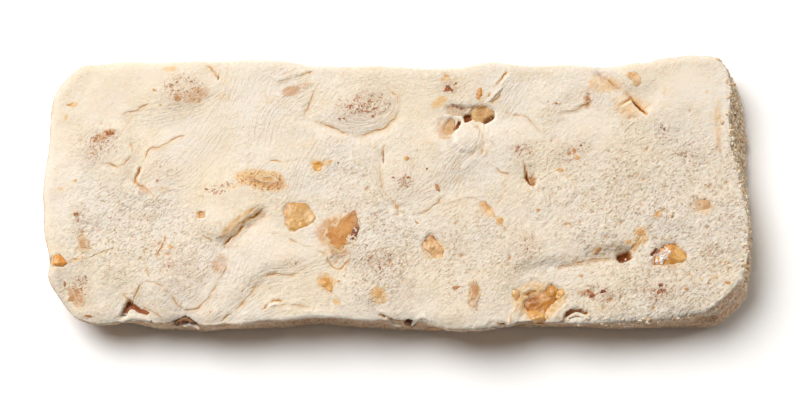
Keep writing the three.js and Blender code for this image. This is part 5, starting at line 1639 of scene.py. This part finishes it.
def scatterTree(name, part, shape, material, keys):
    tree = bpy.data.node_groups.new(name, "GeometryNodeTree")
    bench = Bench(tree)
    tree.interface.new_socket("Geometry", in_out="OUTPUT", socket_type="NodeSocketGeometry")
    tree.interface.new_socket("Geometry", in_out="INPUT", socket_type="NodeSocketGeometry")
    sockets = {}
    for key in keys:
        sockets[key] = tree.interface.new_socket(key, in_out="INPUT", socket_type="NodeSocketFloat")
    given = bench.node("NodeGroupInput", {}, {}, "Geometry")
    share = bench.node("GeometryNodeInputNamedAttribute", {"data_type": "FLOAT_VECTOR"}, {"Name": "loose"})
    density = bench.node("ShaderNodeSeparateXYZ", {}, {0: share}, part) * given.out("Density")
    seed = given.out("Seed")
    spots = bench.node("GeometryNodeDistributePointsOnFaces", {"distribute_method": "RANDOM"},
                       {"Mesh": given, "Density": density, "Seed": seed}, "Points")
    if shape == "block":
        form = bench.node("GeometryNodeMeshCube", {}, {"Size": (1.7, 1.5, 1.3)}, "Mesh")
    else:
        form = bench.node("GeometryNodeMeshIcoSphere", {}, {"Radius": 1.0, "Subdivisions": 1}, "Mesh")
    size = bench.node("FunctionNodeRandomValue", {"data_type": "FLOAT"}, {
        2: given.out("Smallest"), 3: given.out("Largest"), "Seed": seed + 1}, 1)
    flat = bench.node("ShaderNodeCombineXYZ", {}, {0: 1.4, 1: 1.3, 2: given.out("Flatness") * 1.3})
    stretch = bench.node("FunctionNodeRandomValue", {"data_type": "FLOAT_VECTOR"}, {
        0: (0.45, 0.45, 0.45), 1: flat, "Seed": seed + 2}, 0)
    stretch = bench.node("ShaderNodeVectorMath", {"operation": "MULTIPLY"}, {0: stretch, 1: flat})
    scale = bench.node("ShaderNodeVectorMath", {"operation": "SCALE"}, {0: stretch, "Scale": size})
    tilt = given.out("Tilt")
    turn = bench.node("FunctionNodeRandomValue", {"data_type": "FLOAT_VECTOR"}, {
        0: bench.node("ShaderNodeCombineXYZ", {}, {0: tilt * -1, 1: tilt * -1, 2: 0.0}),
        1: bench.node("ShaderNodeCombineXYZ", {}, {0: tilt, 1: tilt, 2: 6.28}), "Seed": seed + 3}, 0)
    laid = bench.node("GeometryNodeInstanceOnPoints", {}, {
        "Points": spots, "Instance": form, "Scale": scale, "Rotation": spots.out("Rotation")}, "Instances")
    laid = bench.node("GeometryNodeRotateInstances", {}, {"Instances": laid, "Rotation": turn})
    whole = bench.node("GeometryNodeRealizeInstances", {}, {"Geometry": laid})
    whole = bench.node("GeometryNodeSetMaterial", {}, {"Geometry": whole, "Material": material})
    bench.node("NodeGroupOutput", {}, {"Geometry": whole})
    return tree, sockets


def scatter(name, plan, material, tints=None):
    # loose small things on a mesh, as many as its attribute says, made one plain mesh
    keys = ("Density", "Smallest", "Largest", "Flatness", "Tilt", "Seed")
    tree, sockets = scatterTree(name, plan["part"], plan["shape"], material, keys)
    holder = inScene(name + "Maker", bpy.data.objects[plan["on"]].data)
    modifier = holder.modifiers.new("scatter", "NODES")
    modifier.node_group = tree
    for key, socket in sockets.items():
        modifier[socket.identifier] = float(plan[key])
    mesh = bpy.data.meshes.new_from_object(holder.evaluated_get(bpy.context.evaluated_depsgraph_get()))
    bpy.data.objects.remove(holder)
    if tints:
        rng = np.random.default_rng(int(plan["Seed"]))
        perPiece = rng.integers(len(tints), size=len(mesh.vertices) // lumpCorners + 1)
        colours = np.array([linear(*tints[k]) for k in perPiece])
        colours = colours[np.arange(len(mesh.vertices)) // lumpCorners]
        layer = mesh.attributes.new("tint", "FLOAT_VECTOR", "POINT")
        layer.data.foreach_set("vector", colours.astype(np.float32).ravel())
    piece = inScene(name, mesh)
    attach(piece, "root")
    print(name, len(mesh.vertices), "points", len(mesh.polygons), "faces")
    return piece


crumbLook = {"film": (244, 230, 208), "stain": (196, 148, 98), "stained": 0.6, "roughness": 0.7, "coat": 0.0,
             "subsurface": 0.0, "depth": 0.0005, "grain": 0.1, "dusty": 0.25}
crumbTones = [(248, 236, 214), (238, 218, 188), (220, 190, 150)]


def sugarMaterial():
    material, bench = newMaterial("sugar")
    finishMaterial(bench, {
        "Base Color": tone(246, 236, 228), "Roughness": 0.22, "IOR": 1.5, "Specular IOR Level": 0.7,
        "Subsurface Weight": 0.4, "Subsurface Radius": (1.0, 0.8, 0.7), "Subsurface Scale": 0.0003})
    return material


crumbMaterial = pieceMaterial("crumb", crumbLook)
scatter("nougatCrumbs", scattered["nougatCrumbs"], crumbMaterial, crumbTones)
scatter("paleFlakes", scattered["paleFlakes"], crumbMaterial, crumbTones[:2])
scatter("nutSkins", scattered["nutSkins"], crumbMaterial, skinTones)
scatter("sugarGrains", scattered["sugarGrains"], sugarMaterial())

# ---- floor, light and camera

floorReach = 2  # in metres
floorCorners = [(-floorReach, -floorReach, 0), (floorReach, -floorReach, 0), (floorReach, floorReach, 0),
                (-floorReach, floorReach, 0)]
floorMesh = bpy.data.meshes.new("floor")
floorMesh.from_pydata(floorCorners, [], [(0, 1, 2, 3)])
floor = inScene("floor", floorMesh)
floorMaterial, floorBench = newMaterial("floor")
finishMaterial(floorBench, {"Base Color": (1, 1, 1, 1), "Roughness": 1.0, "Specular IOR Level": 0.0})
floorMesh.materials.append(floorMaterial)

lighting = {
    "key": {"place": (-0.5, 0.43, 1.04), "size": 0.9, "power": 19.4, "colour": (1, 0.995, 0.985)},
    "fill": {"place": (1, 0.36, 0.18), "size": 0.32, "power": 4, "colour": (1, 0.94, 0.87)},
}
surround = {"colour": (1, 0.88, 0.76, 1), "strength": 0.12}
for name, light in lighting.items():
    lamp = bpy.data.lights.new(name, "AREA")
    lamp.shape, lamp.size, lamp.energy, lamp.color = "DISK", light["size"], light["power"], light["colour"]
    holder = inScene(name, lamp)
    holder.location = light["place"]
    holder.rotation_euler = (-holder.location).to_track_quat("-Z", "Y").to_euler()

world = bpy.data.worlds.new("surround")
bpy.context.scene.world = world
world.use_nodes = True
worldNode = world.node_tree.nodes["Background"]
worldNode.inputs[0].default_value = surround["colour"]
worldNode.inputs[1].default_value = surround["strength"]

# the camera looks at aim from straight above, tilted forward by so many degrees
view = {"tilt": 15, "distance": 560, "lens": 124.7, "sensor": 36, "aim": (0.5, -0.8, 6)}
tilt = math.radians(view["tilt"])
cameraData = bpy.data.cameras.new("camera")
cameraData.lens, cameraData.sensor_width = view["lens"], view["sensor"]
camera = inScene("camera", cameraData)
back = Vector((0, -math.sin(tilt), math.cos(tilt)))
camera.location = (Vector(view["aim"]) + view["distance"] * back) * mm
camera.rotation_euler = (tilt, 0, 0)
scene = bpy.context.scene
scene.camera = camera
scene.view_settings.view_transform = "Standard"
print("stage set")
